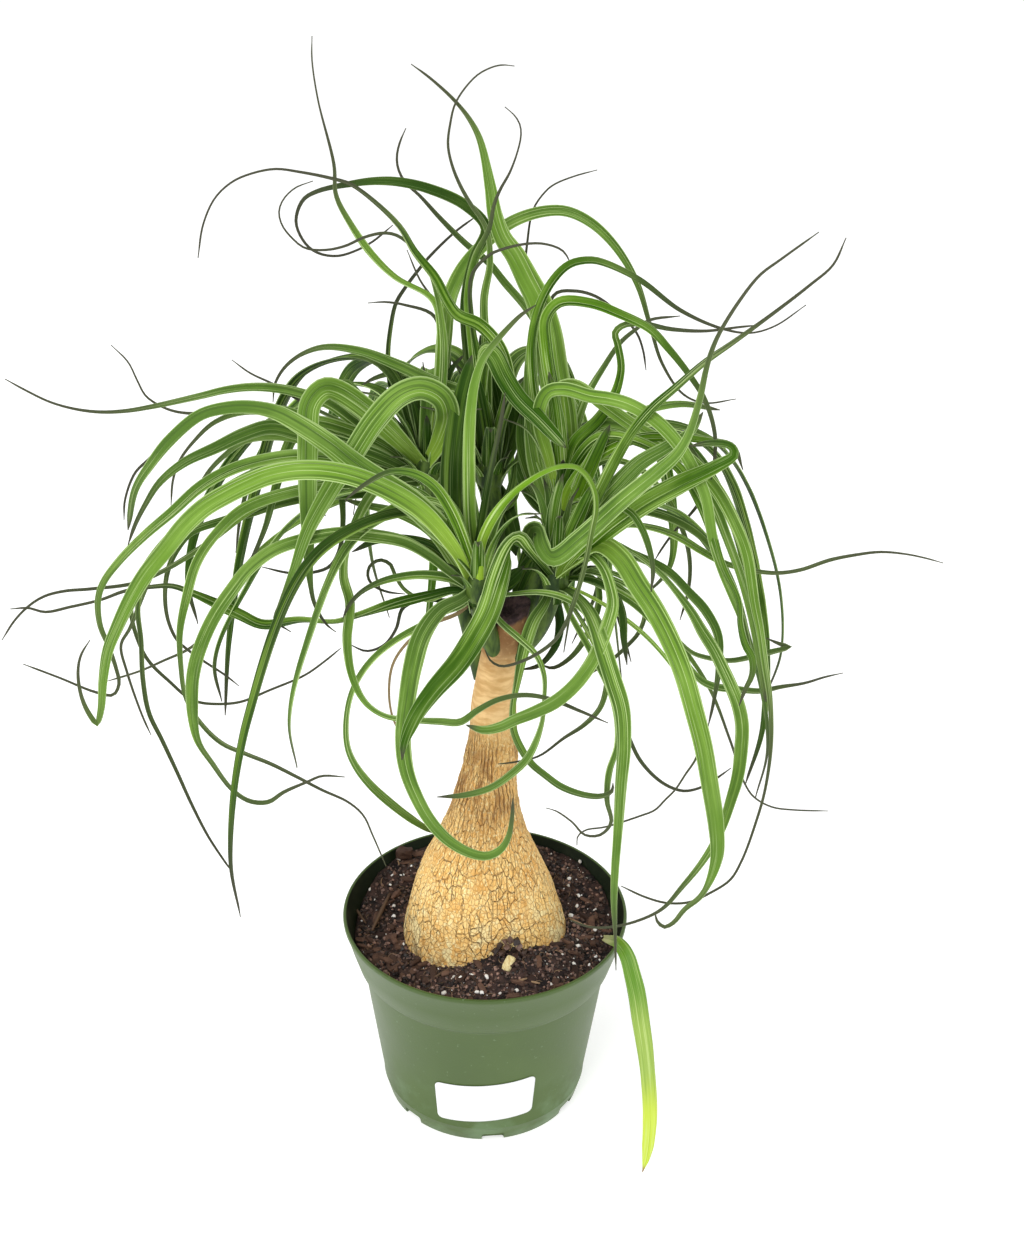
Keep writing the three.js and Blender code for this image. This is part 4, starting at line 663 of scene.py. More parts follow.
# ---------------------------------------------------------------- trunk
# Grown as one piece: a swollen base under corky plates, a wrinkled neck and a smooth ringed stem,
# sawn off at a slant with a dark dried face.
TRUNK_SHAPE = [  # height, radius, sideways drift of the axis
    (66, 22, 0), (74, 36, 0), (84, 43, 0), (94, 45, 0), (108, 43, 0), (128, 37.8, -1),
    (145, 32.1, -1.8), (158, 26, -1.5), (171, 20.7, -1.1), (184, 17.2, -0.4), (197, 15.2, 0.3),
    (218, 12.7, 3.3), (245, 11.3, 3.4), (262, 10.2, 5.2), (280, 9.6, 7.7), (298, 9, 12.4),
]
CUT_TILT, TILT_START = 0.32, 262
CUT_FACE = [(0.93, 0.4), (0.8, 0.2), (0.55, -1.2), (0.25, -1.6), (0.02, -1.7)]  # reach, rise
BARK_FROM, BARK_TO = (88, 96), (222, 236)  # where the bark begins and where it ends
NECK_MIDDLE, NECK_SPREAD = 205, 22
COLLAR_HEIGHT, COLLAR_SPREAD = 277, 2.5
PLATE_RISE, LUMP_RISE, FOLD_RISE, WRINKLE_RISE, COLLAR_RISE = 0.4, 0.45, 1.1, 0.12, 0.5
UNROLLED_RADIUS = 43
TRUNK_ROUND, BURIED_RINGS, OPEN_RINGS = 320, 8, 280
BURIED_TO = 91
heights, radii, drifts = zip(*TRUNK_SHAPE)
TRUNK_FOOT, TRUNK_TOP = heights[0], heights[-1]
levels = [*np.linspace(TRUNK_FOOT, BURIED_TO, BURIED_RINGS, endpoint=False)]
levels += [*np.linspace(BURIED_TO, TRUNK_TOP, OPEN_RINGS)]


def flowing(z, values):
    """A value of the trunk's table, eased so that no height shows a corner."""
    return float(np.mean([np.interp(z + step, heights, values) for step in (-5, -2.5, 0, 2.5, 5)]))


def bark(turn, z, radius):
    """How far the bark stands out here (mm), and how deep it is folded (0 to 1)."""
    east, north = math.cos(turn), math.sin(turn)
    corky_here = smoothstep(z, *BARK_FROM) * (1 - smoothstep(z, *BARK_TO))
    spot = Vector((east * radius, north * radius, z))
    cobble = noise.voronoi(Vector((spot.x / 3.6, spot.y / 3.6, z / 4.6)))[0][0]
    lumps = noise.fractal(Vector((spot.x / 8, spot.y / 8, z / 13)), 0.9, 2.1, 3)
    neck = math.exp(-(((z - NECK_MIDDLE) / NECK_SPREAD) ** 2))
    folds = noise.fractal(Vector((east * 3.6, north * 3.6, z / 14)), 0.8, 2.2, 4)
    wrinkle = noise.fractal(Vector((east, north, (z + 4 * math.sin(turn + 1)) / 2.3)), 1.0, 2.1, 3)
    collar = math.exp(-(((z - COLLAR_HEIGHT) / COLLAR_SPREAD) ** 2))
    rise = corky_here * (PLATE_RISE * (0.5 - cobble) + LUMP_RISE * lumps) + neck * FOLD_RISE * folds
    rise += smoothstep(z, 222, 240) * WRINKLE_RISE * wrinkle + COLLAR_RISE * collar
    return rise, neck * smoothstep(-folds, 0.02, 0.4)


bm = bmesh.new()
turn_on_axis(bm, [(1, 0, z) for z in levels], TRUNK_ROUND, merge=1e-5)
fold_layer, cut_layer = (bm.verts.layers.float.new(name) for name in ("fold", "cut"))
profile = {round(z, 3): (flowing(z, radii), flowing(z, drifts)) for z in levels}
for v in bm.verts:
    turn, z = math.atan2(v.co.y, v.co.x), v.co.z
    radius, drift = profile[round(z, 3)]
    rise, v[fold_layer] = bark(turn, z, radius)
    x, y = (radius + rise) * math.cos(turn), (radius + rise) * math.sin(turn)
    tilt = CUT_TILT * smoothstep(z, TILT_START, TRUNK_TOP)
    near_top = smoothstep(z, TRUNK_TOP - 5, TRUNK_TOP)
    ragged = 1.2 * noise.noise(Vector((turn * 2.5, 0, 8))) * near_top
    v[cut_layer] = smoothstep(z + 2 * noise.noise(Vector((turn * 3, 5, 0))), TRUNK_TOP - 5, TRUNK_TOP - 2)
    v.co = Vector((x + drift, y, z + tilt * (x + 0.6 * y) + ragged)) * MM
rim = [e for e in bm.edges if e.is_boundary and e.verts[0].co.z > TILT_START * MM]
last_reach = 1
for reach, drop in CUT_FACE:
    made = bmesh.ops.extrude_edge_only(bm, edges=rim)["geom"]
    ring = [v for v in made if isinstance(v, bmesh.types.BMVert)]
    middle = sum((v.co for v in ring), Vector()) / len(ring)
    for v in ring:
        v.co = middle + (v.co - middle) * reach / last_reach + Vector((0, 0, drop * MM))
        v.co.z += 0.5 * MM * noise.noise(v.co * 400)
        v[cut_layer] = 1
    last_reach = reach
    rim = [e for e in made if isinstance(e, bmesh.types.BMEdge) and e.is_boundary]
bmesh.ops.contextual_create(bm, geom=rim)
bmesh.ops.contextual_create(bm, geom=[e for e in bm.edges if e.is_boundary])
bmesh.ops.recalc_face_normals(bm, faces=bm.faces)

corky = Finish("corky_bark", 0.8, 0.2)
grain = corky.noise(330, 4)
axes = corky.node("SeparateXYZ")
corky.link(corky.place, axes.inputs[0])
high = axes.outputs["Z"]  # metres, as in all of this material's heights
turn = corky.product(axes.outputs["X"], corky.product(axes.outputs["Y"], -1), "ARCTAN2")
unrolled = corky.node("CombineXYZ")  # mm round and up the trunk, so that plates narrow with it
corky.link(corky.product(turn, UNROLLED_RADIUS), unrolled.inputs["X"])
corky.link(corky.product(high, 1 / MM), unrolled.inputs["Y"])
unrolled = unrolled.outputs[0]
# Long cracks wander up the trunk, and shorter joints part the plates.
lines = corky.node("SeparateXYZ")
corky.link(corky.wandering(320, 2.6, corky.wandering(58, 15, unrolled)), lines.inputs[0])
line = corky.product(lines.outputs["X"], 3.377, "PINGPONG")
crack = corky.between(line, 0.08, 0.42, 1, 0)
crack = corky.product(crack, corky.cloudy(46, 2, 0.44, 0.62, 0, 0.8))
plate_space = corky.stretched(corky.wandering(300, 2.4, corky.wandering(60, 7, unrolled)), (1, 0.62, 1))
joint = corky.between(corky.cells(0.21, plate_space, "DISTANCE_TO_EDGE"), 0.01, 0.07, 1, 0)
joint = corky.product(joint, corky.cloudy(34, 2, 0.38, 0.58, 0.1, 0.85))
crack = corky.product(crack, joint, "MAXIMUM")
# In the neck the cracks close up into slits, and above it they end.
neck = corky.product(corky.between(high, 0.160, 0.192), corky.between(high, 0.240, 0.224))
knots = corky.between(corky.noise(120, 3, corky.stretched(corky.place, (1, 1, 0.5))), 0.36, 0.60)
slits = corky.product(corky.between(line, 0.1, 1.5, 1, 0), corky.product(neck, knots))
crack = corky.product(crack, corky.between(high, 0.222, 0.238, 1, 0))
crack = corky.product(crack, slits, "MAXIMUM")
# Small bumps cover each plate, some of them paler.
pebble_space = corky.wandering(260, 1.8, unrolled)
gap = corky.between(corky.cells(0.4, pebble_space, "DISTANCE_TO_EDGE"), 0.0, 0.14, 1, 0)
gap = corky.product(gap, corky.between(high, 0.224, 0.242, 1, 0))
pebble = corky.between(corky.cells(0.4, pebble_space, "F1", "Color"), 0.25, 0.8)
tan = corky.mixed(corky.cloudy(45, 4, 0.38, 0.62), (0.80, 0.435, 0.120), (0.96, 0.61, 0.205))
tan = corky.mixed(corky.product(pebble, 0.6), tan, (0.98, 0.74, 0.32))
tan = corky.mixed(corky.cloudy(520, 3, 0.53, 0.68, 0, 0.8), tan, (1.0, 0.88, 0.48))
low_down = corky.product(corky.between(high, 0.155, 0.118), corky.cloudy(95, 3, 0.5, 0.64))
tan = corky.mixed(corky.product(low_down, 0.8), tan, (0.97, 0.84, 0.44))
tan = corky.mixed(corky.product(gap, 0.6), tan, (0.52, 0.25, 0.068))
tan = corky.mixed(corky.product(neck, 0.35), tan, (0.50, 0.28, 0.10))
tan = corky.mixed(corky.product(crack, 0.85), tan, (0.24, 0.105, 0.032))
# The stem above is smooth and ringed, browner under the cut. Deep folds in the neck are darkened with painted
# shade, and the soil's edge is stained.
rings = corky.noise(60, 4, corky.stretched(corky.wandering(90, 0.006), (1.6, 1.6, 6)))
stem_tan = corky.mixed(corky.between(rings, 0.34, 0.68), (0.66, 0.385, 0.145), (0.88, 0.60, 0.285))
tan = corky.mixed(corky.between(high, 0.222, 0.244), tan, stem_tan)
top = corky.product(corky.between(high, 0.262, 0.284), corky.between(grain, 0.30, 0.5, 0.6, 0.95))
tan = corky.mixed(top, tan, (0.24, 0.115, 0.045))
# Painted shade in the deep folds of the neck.
tan = corky.mixed(corky.product(corky.attribute("fold"), 0.7), tan, (0.30, 0.14, 0.045))
stain = corky.product(corky.between(high, 0.118, 0.102), corky.cloudy(150, 3, 0.42, 0.66))
tan = corky.mixed(corky.product(stain, 0.8), tan, (0.20, 0.13, 0.06))
dried = corky.mixed(corky.between(grain, 0.4, 0.6), (0.040, 0.024, 0.026), (0.085, 0.050, 0.050))
corky.coloured(corky.mixed(corky.attribute("cut"), tan, dried))
corky.bumped(corky.product(crack, -1), 0.9, 0.0010)
corky.bumped(corky.product(gap, -1), 0.6, 0.0006)
corky.bumped(grain, 0.45, 0.0006)
trunk = new_piece("swollen_trunk", bm, [corky.material])
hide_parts("trunk")
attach(trunk, "root")


# ---------------------------------------------------------------- leaf heads
# Five heads of long strap leaves, each on a short stem out of the trunk's sawn top. A leaf is one
# channelled blade, arching over and drying at its tip. Where it clasps the head it is yellow-green
# on bright leaves and carries painted shade on darker ones.
HEADS = {  # where the crown shows and how deep it stands, and the way of the stem (mm)
    "front_left": ((478, 590, -15), [(7, -3, 270), (-1, -9, 292)]),
    "right": ((556, 582, -5), [(9, -1, 268), (24, -4, 288)]),
    "back_left": ((428, 474, 35), [(-2, 4, 256), (-12, 17, 292), (-23, 29, 330)]),
    "back_right": ((560, 520, 25), [(13, 4, 284), (25, 17, 304)]),
    "back_centre": ((490, 478, 40), [(7, 6, 274), (5, 23, 302)]),
}
# Each leaf's head, the widths that it shows from root to tip and its middle line: across and down
# in the eye's picture, with how far it lies behind the pot's axis (mm) where that changes.
LEAVES = [
  ["spire", "back_left", [12, 14, 12, 4, 8, 4, 2, 1.5],
    [[436, 430], [441, 380], [441, 330, 45], [432, 300], [395, 278], [372, 255], [350, 223], [336, 195],
     [334, 165], [318, 100], [312, 60], [312, 36, 70]]],
  ["long sickle", "back_centre", [14, 15, 13, 13, 10, 6, 4, 2.5, 2, 2],
    [[499, 430], [509, 390], [501, 350], [480, 325, 25], [458, 315], [447, 300], [435, 277], [415, 252],
     [400, 227], [375, 202, 5], [350, 184], [330, 178], [300, 172], [275, 169], [250, 174], [232, 182],
     [215, 198], [203, 225], [198, 258, -15]]],
  ["hooked ribbon", "back_centre", [14, 12, 10, 9, 11, 11, 9, 5, 3, 2.5, 2],
    [[478, 420], [468, 350], [466, 300], [475, 257, 60], [486, 228], [465, 205], [430, 189], [400, 182],
     [375, 181], [350, 184], [318, 191], [303, 200, 75], [296, 222], [305, 243], [318, 253], [337, 256],
     [355, 251], [372, 242], [393, 225, 90]]],
  ["top ringlet", "back_left", [10, 9, 7, 4, 3, 2, 1.5],
    [[438, 420], [444, 350], [438, 300], [425, 262, 30], [400, 237], [385, 233], [365, 237], [345, 246],
     [325, 250], [305, 248], [292, 238], [282, 225, 15], [279, 212], [283, 200], [295, 188], [313, 181, 10]]],
  ["high arch", "back_right", [14, 13, 10, 8, 8, 6, 3, 2],
    [[562, 430], [552, 370], [540, 330], [524, 305, 75], [505, 283], [488, 262], [465, 243], [440, 218],
     [420, 196, 95], [405, 182], [398, 168], [397, 155], [400, 142], [406, 128, 105]]],
  ["broad riser", "back_right", [20, 26, 32, 30, 24, 17, 9, 4, 2],
    [[566, 480], [563, 440], [560, 410], [553, 370], [547, 330, 50], [538, 300], [528, 280], [515, 255],
     [503, 238], [495, 215], [490, 185, 65], [480, 140], [470, 120], [455, 101], [430, 78], [411, 64, 60]]],
  ["plume", "back_centre", [12, 10, 9, 8, 5, 3, 2, 1.5],
    [[488, 430], [487, 360], [484, 300], [490, 262, 45], [486, 228], [470, 203], [460, 185], [452, 165],
     [448, 145], [450, 125, 55], [456, 102], [475, 77], [490, 68], [502, 65], [514, 66, 75]]],
  ["swan neck", "back_centre", [12, 12, 10, 9, 7, 4, 2, 1.5],
    [[482, 420], [472, 340], [468, 296, 35], [475, 257], [489, 229], [494, 205], [500, 190], [510, 172, 30],
     [518, 150], [521, 135], [520, 125], [515, 116], [505, 107, 25]]],
  ["top wisp", "back_right", [10, 8, 5, 3, 2, 1.5],
    [[556, 440], [545, 370], [530, 310], [525, 270, 90], [527, 245], [533, 210], [545, 192], [555, 184],
     [575, 176], [597, 170, 120]]],
  ["great arch", "back_left", [14, 16, 16, 14, 12, 10, 7, 4, 2.5, 1.5],
    [[434, 440], [440, 390], [444, 340], [449, 300, 60], [462, 270], [485, 243], [510, 223], [540, 212, 95],
     [565, 211], [590, 222], [615, 246], [637, 283], [650, 325, 110], [662, 363], [683, 394], [705, 403],
     [736, 399, 125]]],
  ["thin arch", "back_centre", [10, 8, 5, 3, 2],
    [[484, 390], [472, 320], [472, 275, 30], [488, 256], [500, 250], [525, 244, 20], [545, 244], [563, 251],
     [572, 266, 15]]],
  ["backswept wisp", "back_left", [8, 6, 5, 4, 3, 2],
    [[412, 435], [394, 400], [388, 360], [391, 325, 80], [396, 303], [405, 288], [420, 268], [431, 255],
     [455, 232], [478, 215, 120]]],
  ["side wisp", "back_left", [8, 6, 4, 1.5],
    [[438, 400], [442, 350], [434, 316, 55], [405, 305], [385, 302], [368, 303, 60]]],
  ["hair off the spire", "back_left", [6, 4, 3, 1.5],
    [[446, 410], [449, 350], [440, 310, 65], [420, 280], [407, 250, 80]]],
  ["right fountain", "back_right", [10, 10, 9, 9, 9, 8, 6, 4, 2, 1.5],
    [[545, 450], [535, 400], [531, 350], [538, 310, 15], [553, 280], [570, 264], [590, 260], [605, 263],
     [640, 280, 5], [680, 310], [720, 328], [750, 333], [775, 326], [806, 305, 0]]],
  ["right cascade", "back_right", [12, 11, 12, 12, 10, 8, 5, 3],
    [[560, 450], [555, 400], [547, 350], [546, 318], [560, 302, 5], [590, 303], [620, 314], [650, 329],
     [668, 348], [688, 373, -20], [705, 400], [715, 435], [714, 465], [711, 480, -35]]],
  ["right wisp", "back_right", [8, 6, 4, 3, 2],
    [[556, 450], [551, 400], [545, 330], [555, 294, 75], [575, 291], [595, 296], [615, 310], [636, 332],
     [643, 350], [646, 370, 95]]],
  ["folded ribbon", "back_right", [16, 14, 14, 12, 8, 7, 5, 3, 2],
    [[566, 475], [575, 443], [598, 420], [613, 398, 10], [621, 370], [618, 346], [615, 333], [624, 325],
     [645, 324], [670, 329, -5], [705, 331], [740, 327], [760, 325, -10]]],
  ["right quill", "back_right", [10, 10, 9, 6, 4, 2],
    [[568, 460], [585, 400], [605, 365, 55], [620, 343], [635, 330], [650, 320], [680, 316, 80]]],
  ["long right quill", "right", [14, 14, 12, 12, 10, 8, 6, 4, 3, 2],
    [[575, 545], [600, 490], [615, 460], [632, 432], [652, 408], [675, 388, -30], [705, 362], [735, 341],
     [775, 312], [810, 285], [833, 265], [846, 238, -45]]],
  ["broad right ribbon", "right", [14, 16, 18, 19, 18, 15, 8, 6, 4, 3, 2],
    [[541, 560, 0], [530, 543, 0], [530, 530, -5], [539, 529, -12], [543, 545, -22], [553, 557, -30],
     [580, 538], [619, 503, -48], [657, 472], [677, 454], [688, 436], [700, 398, -60], [706, 370], [712, 350],
     [720, 332], [740, 300], [760, 275], [780, 260], [819, 232, -80]]],
  ["right shawl", "back_right", [10, 12, 14, 14, 14, 14, 12, 10, 8, 5],
    [[550, 460], [539, 415], [548, 392, 5], [565, 389], [590, 396], [610, 399], [630, 405, -20], [655, 420],
     [675, 440], [690, 463], [705, 495, -42], [713, 540], [722, 570], [730, 590], [742, 620], [748, 645],
     [752, 665, -62]]],
  ["long hanging right leaf", "back_right", [10, 10, 12, 14, 14, 12, 8, 5, 3, 2.5, 2.5, 2],
    [[562, 440], [560, 385], [575, 383, 15], [605, 405], [645, 433], [668, 445], [695, 465, -12], [718, 492],
     [738, 530], [747, 555], [755, 605], [760, 630], [765, 665, -35], [770, 700], [771, 745], [765, 790],
     [755, 825], [742, 860], [730, 880], [710, 893], [690, 902], [667, 903], [645, 897], [621, 886, -45]]],
  ["hanging right leaf", "back_right", [10, 12, 12, 12, 9, 7, 5],
    [[570, 460], [600, 424], [640, 432], [690, 460, 8], [712, 500], [728, 540], [742, 580], [752, 620],
     [760, 665, -8], [766, 702, -12]]],
  ["pinched right leaf", "back_right", [10, 12, 12, 10, 10, 12, 8, 4, 8, 3],
    [[572, 470], [600, 438], [640, 443], [676, 466, -15], [702, 505], [723, 568, -50], [738, 600], [740, 625],
     [745, 645], [752, 658], [752, 675], [745, 690], [739, 706, -70]]],
  ["centre riser", "front_left", [14, 13, 13, 13, 12, 9, 6, 3],
    [[471, 530], [469, 470], [470, 420, -8], [475, 382], [483, 359], [493, 345], [506, 330], [521, 315],
     [536, 305, 0]]],
  ["centre sliver", "front_left", [13, 9, 6, 3],
    [[480, 536], [487, 490], [493, 459, -20], [501, 421], [505, 393, -22]]],
  ["centre fold", "back_centre", [14, 12, 12, 18, 20, 18, 10],
    [[478, 430], [478, 385], [484, 352, 15], [494, 356, 5], [505, 378], [518, 398, -2], [541, 421],
     [566, 448, -12]]],
  ["dark riser", "front_left", [20, 24, 25, 18, 8],
    [[466, 560], [455, 530, 0], [452, 470], [460, 400, 12], [472, 355, 15]]],
  ["centre blade", "back_centre", [16, 20, 16, 8],
    [[486, 440], [480, 400, 30], [474, 372, 28]]],
  ["centre blade behind", "back_centre", [16, 20, 16, 8],
    [[500, 440], [496, 400, 52], [486, 360], [480, 335, 60]]],
  ["broad blade behind", "back_right", [18, 20, 20, 16, 10, 5],
    [[552, 480], [538, 440], [532, 400], [531, 360, 42], [534, 330], [546, 298, 50]]],
  ["upper left drape", "back_centre", [10, 12, 12, 12, 8, 4, 2],
    [[490, 430], [482, 402], [464, 392], [435, 382, 42], [400, 366], [360, 351], [325, 347], [302, 354, 45],
     [285, 367], [275, 384], [273, 402, 45]]],
  ["short left leaf", "back_left", [10, 10, 8, 3],
    [[438, 430], [436, 392], [420, 377, 50], [395, 373], [375, 378], [362, 385, 55]]],
  ["left nib", "back_left", [14, 14, 14, 12, 8, 4],
    [[402, 447], [385, 430], [370, 412, 18], [357, 393], [345, 382], [336, 388], [330, 400, 8]]],
  ["left strap", "back_left", [16, 21, 23, 23, 22, 19, 13, 5, 2],
    [[400, 440], [360, 405, 15], [335, 390], [322, 390], [310, 405], [308, 440], [308, 520, -15], [310, 580],
     [315, 605], [327, 625], [336, 632, -20]]],
  ["broad left strap", "back_left", [18, 22, 24, 24, 24, 22, 18, 12, 6, 2],
    [[441, 440, 20], [448, 415], [440, 396, -5], [420, 388], [398, 396], [375, 420], [352, 455, -35],
     [330, 490], [308, 530], [293, 572], [280, 605], [275, 620], [291, 632, -50]]],
  ["broad left arch", "front_left", [18, 22, 26, 26, 24, 20, 14, 12, 12, 8, 5],
    [[466, 560], [440, 530], [415, 505], [385, 485, -32], [355, 465], [330, 445], [300, 425], [275, 412],
     [250, 407, -40], [225, 408], [200, 415], [170, 440], [150, 465], [135, 490], [128, 530, -40]]],
  ["left curler", "back_left", [14, 12, 10, 8, 5, 3, 2, 1.5],
    [[385, 455], [355, 442], [320, 424], [285, 410, 30], [250, 408], [205, 413], [185, 413], [170, 410],
     [155, 403], [145, 395], [137, 380], [128, 362], [111, 345, 50]]],
  ["far left whip", "back_left", [12, 12, 12, 10, 8, 6, 4, 2.5, 2],
    [[380, 440], [355, 422], [330, 404], [300, 393, 25], [275, 388], [250, 387], [225, 390], [200, 396],
     [150, 407, 20], [125, 411], [100, 412], [75, 409], [50, 402], [25, 390], [5, 379, 15]]],
  ["left quill", "back_left", [8, 5, 3, 1.5],
    [[400, 445], [350, 425], [302, 402, 75], [275, 385], [250, 373], [232, 360, 95]]],
  ["dark left hanger", "back_left", [10, 8, 6, 4, 3, 2],
    [[380, 450], [330, 425], [280, 408, 65], [225, 410], [180, 427], [150, 458], [135, 473], [125, 500],
     [124, 520, 75]]],
  ["left droop", "back_left", [10, 10, 8, 6, 3, 2],
    [[380, 455], [330, 432], [290, 416, 48], [245, 412], [215, 422], [195, 440], [180, 460], [173, 480],
     [171, 505, 50]]],
  ["left sash", "back_left", [16, 16, 16, 16, 14, 10, 6, 3],
    [[390, 462], [350, 447], [300, 433, 5], [270, 427], [245, 434], [215, 448], [185, 462, -12], [160, 482],
     [145, 505], [135, 525], [128, 545, -25]]],
  ["left under sash", "back_left", [12, 10, 8, 6, 3],
    [[395, 470], [350, 455], [300, 440, 18], [275, 437], [245, 441], [225, 455], [210, 470], [200, 485],
     [190, 500, 10]]],
  ["left long sickle", "back_left", [14, 14, 12, 12, 12, 10, 8, 6, 4, 2.5, 2],
    [[395, 478], [350, 462], [300, 455, -2], [262, 460], [230, 470], [200, 487], [172, 512, -20], [145, 535],
     [120, 560], [103, 583], [98, 600], [100, 625], [108, 645], [116, 668], [119, 684], [113, 695],
     [95, 692], [60, 678], [23, 664, -30]]],
  ["left bright bow", "front_left", [16, 20, 20, 20, 20, 20, 18, 16, 12, 8, 4, 2],
    [[455, 550], [420, 510], [370, 482, -45], [335, 472], [300, 470], [270, 475], [245, 485], [225, 495],
     [205, 507, -60], [185, 525], [165, 550], [145, 575], [130, 600], [118, 625], [108, 650], [103, 680],
     [101, 710, -62], [97, 724], [88, 712], [81, 695], [78, 672], [81, 655], [90, 640, -58]]],
  ["left reacher", "back_left", [12, 10, 8, 6, 4, 3, 2],
    [[380, 482], [320, 487], [260, 505, 28], [205, 545], [165, 570], [135, 583], [90, 589, 22], [65, 591],
     [45, 596], [30, 605], [15, 620], [2, 640, 18]]],
  ["left pinched leaf", "front_left", [12, 12, 12, 5, 4, 10, 12, 6, 4, 3, 3, 2],
    [[455, 590], [430, 595], [395, 604, -2], [360, 616], [335, 623], [300, 621], [262, 625], [240, 615, 8],
     [215, 603], [190, 592], [172, 586], [150, 587], [125, 591], [100, 600], [70, 607], [45, 612],
     [28, 608], [10, 609, 12]]],
  ["left hook", "back_left", [12, 12, 10, 8, 5, 3, 2],
    [[385, 490], [320, 495], [280, 503, 35], [250, 513], [225, 520], [192, 532], [178, 548], [168, 570],
     [165, 595, 28], [168, 620], [177, 640], [188, 650], [205, 662], [225, 675], [239, 686, 25]]],
  ["long tail left", "back_left", [14, 12, 12, 12, 10, 10, 6, 4, 5, 4, 3, 2, 1.5],
    [[390, 488], [345, 484], [300, 490, 12], [245, 508], [215, 535], [197, 562], [187, 595], [180, 630, -12],
     [181, 665], [187, 700], [205, 728], [223, 744], [246, 754], [271, 764, -28], [297, 777], [322, 790],
     [348, 802], [363, 815], [373, 836], [386, 866, -40]]],
  ["left swag", "front_left", [14, 14, 14, 14, 13, 13, 14, 14, 14, 12, 6, 4, 5, 3, 2],
    [[450, 572], [430, 556], [405, 542], [375, 536, -28], [340, 534], [305, 540], [275, 550], [250, 568],
     [232, 590], [215, 615, -34], [203, 640], [195, 665], [192, 690], [197, 739], [213, 764], [233, 790],
     [250, 801, -38], [268, 802], [284, 792], [307, 782], [322, 776], [345, 777, -42]]],
  ["left thread", "back_left", [10, 9, 8, 6, 3, 2],
    [[380, 470], [300, 462], [220, 500, 60], [160, 560], [130, 628], [121, 645], [127, 672], [142, 715],
     [151, 735, 65]]],
  ["left plumb leaf", "back_left", [12, 12, 10, 8, 6, 5, 5, 4, 3, 2],
    [[385, 465], [310, 462], [235, 490, 35], [180, 530], [150, 565], [138, 605], [141, 640], [143, 680],
     [149, 713, 38], [162, 740], [177, 772], [192, 805], [208, 836], [223, 859], [233, 873, 42]]],
  ["left fish hook", "back_left", [12, 12, 10, 8, 6, 4, 3, 2.5, 2],
    [[388, 455], [320, 455], [240, 480, 75], [175, 530], [140, 575], [131, 610], [142, 650], [152, 665],
     [170, 682], [187, 697, 85], [198, 702], [215, 704], [240, 702], [270, 690], [305, 675], [325, 661],
     [341, 648, 90]]],
  ["left curl under", "back_left", [8, 6, 4, 3, 2],
    [[385, 485], [320, 510], [260, 550, 50], [215, 610], [199, 640], [187, 650], [165, 660], [140, 671],
     [108, 681, 62]]],
  ["left faller", "back_left", [12, 12, 12, 12, 10, 6, 3],
    [[395, 452], [350, 430], [308, 422, 22], [291, 440], [275, 490], [266, 525], [255, 552], [247, 567, 5]]],
  ["inner left hook", "back_left", [12, 12, 10, 6, 4, 3, 2],
    [[410, 475], [370, 463], [345, 468, 38], [342, 490], [343, 520], [340, 548], [330, 566], [315, 572],
     [290, 573], [262, 567, 32]]],
  ["left looper", "back_left", [14, 14, 12, 6, 10, 10, 8, 5, 5, 8, 6, 5, 4, 2],
    [[405, 470], [375, 490], [352, 535, 10], [344, 575], [350, 603], [347, 640], [352, 675, -12], [366, 702],
     [385, 715], [410, 719], [440, 721, -30], [460, 722], [478, 710], [500, 699, -40], [525, 695],
     [550, 699], [580, 711], [608, 723, -45]]],
  ["trailing left leaf", "front_left", [10, 8, 8, 6, 6, 5, 5, 6, 8, 9, 8, 4],
    [[462, 606], [440, 614], [422, 626], [399, 639, -14], [373, 660], [356, 685], [348, 713], [348, 744, -8],
     [356, 765], [373, 787], [399, 810], [422, 826], [437, 834, 8]]],
  ["dry left thread", "front_left", [5, 4, 3, 2.5, 2],
    [[460, 612], [430, 625], [406, 644, -8], [393, 664], [389, 690], [392, 715], [401, 736, -8]]],
  ["long sweep", "front_left", [18, 20, 20, 20, 18, 16, 16, 14, 13, 12, 10, 8, 5, 3],
    [[462, 598], [440, 610], [422, 635, -35], [413, 665], [407, 700], [403, 735], [406, 768, -58], [417, 798],
     [431, 822], [449, 841], [470, 853, -64], [487, 856], [500, 850], [508, 838], [512, 818],
     [513, 798, -62]]],
  ["front fold", "right", [14, 12, 10, 16, 24, 24, 24, 22, 18, 14, 4],
    [[537, 563, -12], [524, 548], [515, 541, -24], [508, 552, -32], [499, 578], [488, 612, -48], [473, 640],
     [457, 664], [434, 690, -70], [416, 715], [404, 743], [402, 760, -78]]],
  ["front bow", "right", [12, 8, 8, 10, 12, 14, 14, 14, 14, 12, 10, 6],
    [[572, 562], [590, 556, -22], [602, 568], [610, 590], [612, 605, -38], [607, 625], [600, 645],
     [590, 665], [575, 685, -52], [555, 702], [535, 712], [515, 720], [500, 727], [483, 730],
     [466, 725, -58]]],
  ["front ring", "front_left", [14, 14, 12, 10, 7, 5, 5, 6, 6, 5, 5, 4, 4, 3, 2],
    [[481, 545], [502, 505, -38], [533, 478], [561, 466, -58], [577, 467], [588, 477], [595, 493],
     [596, 510, -66], [592, 530], [585, 565], [573, 605], [565, 625, -58], [555, 640], [540, 652],
     [520, 662], [500, 666, -42], [490, 660], [485, 650, -38]]],
  ["front left nod", "front_left", [14, 14, 12, 12, 10, 6, 3],
    [[466, 545], [450, 508], [432, 484, -42], [412, 473], [389, 472], [364, 485], [345, 500, -58]]],
  ["low left leaf", "front_left", [10, 10, 8, 5, 3],
    [[455, 580], [430, 575], [405, 576, -6], [380, 582], [360, 593], [348, 607], [343, 618, 0]]],
  ["curlicue", "front_left", [5, 5, 4, 4, 3, 2],
    [[452, 592], [425, 600, 2], [405, 590], [395, 575], [390, 564], [380, 560], [370, 566, 8], [368, 577],
     [374, 586], [388, 592], [405, 594, 12]]],
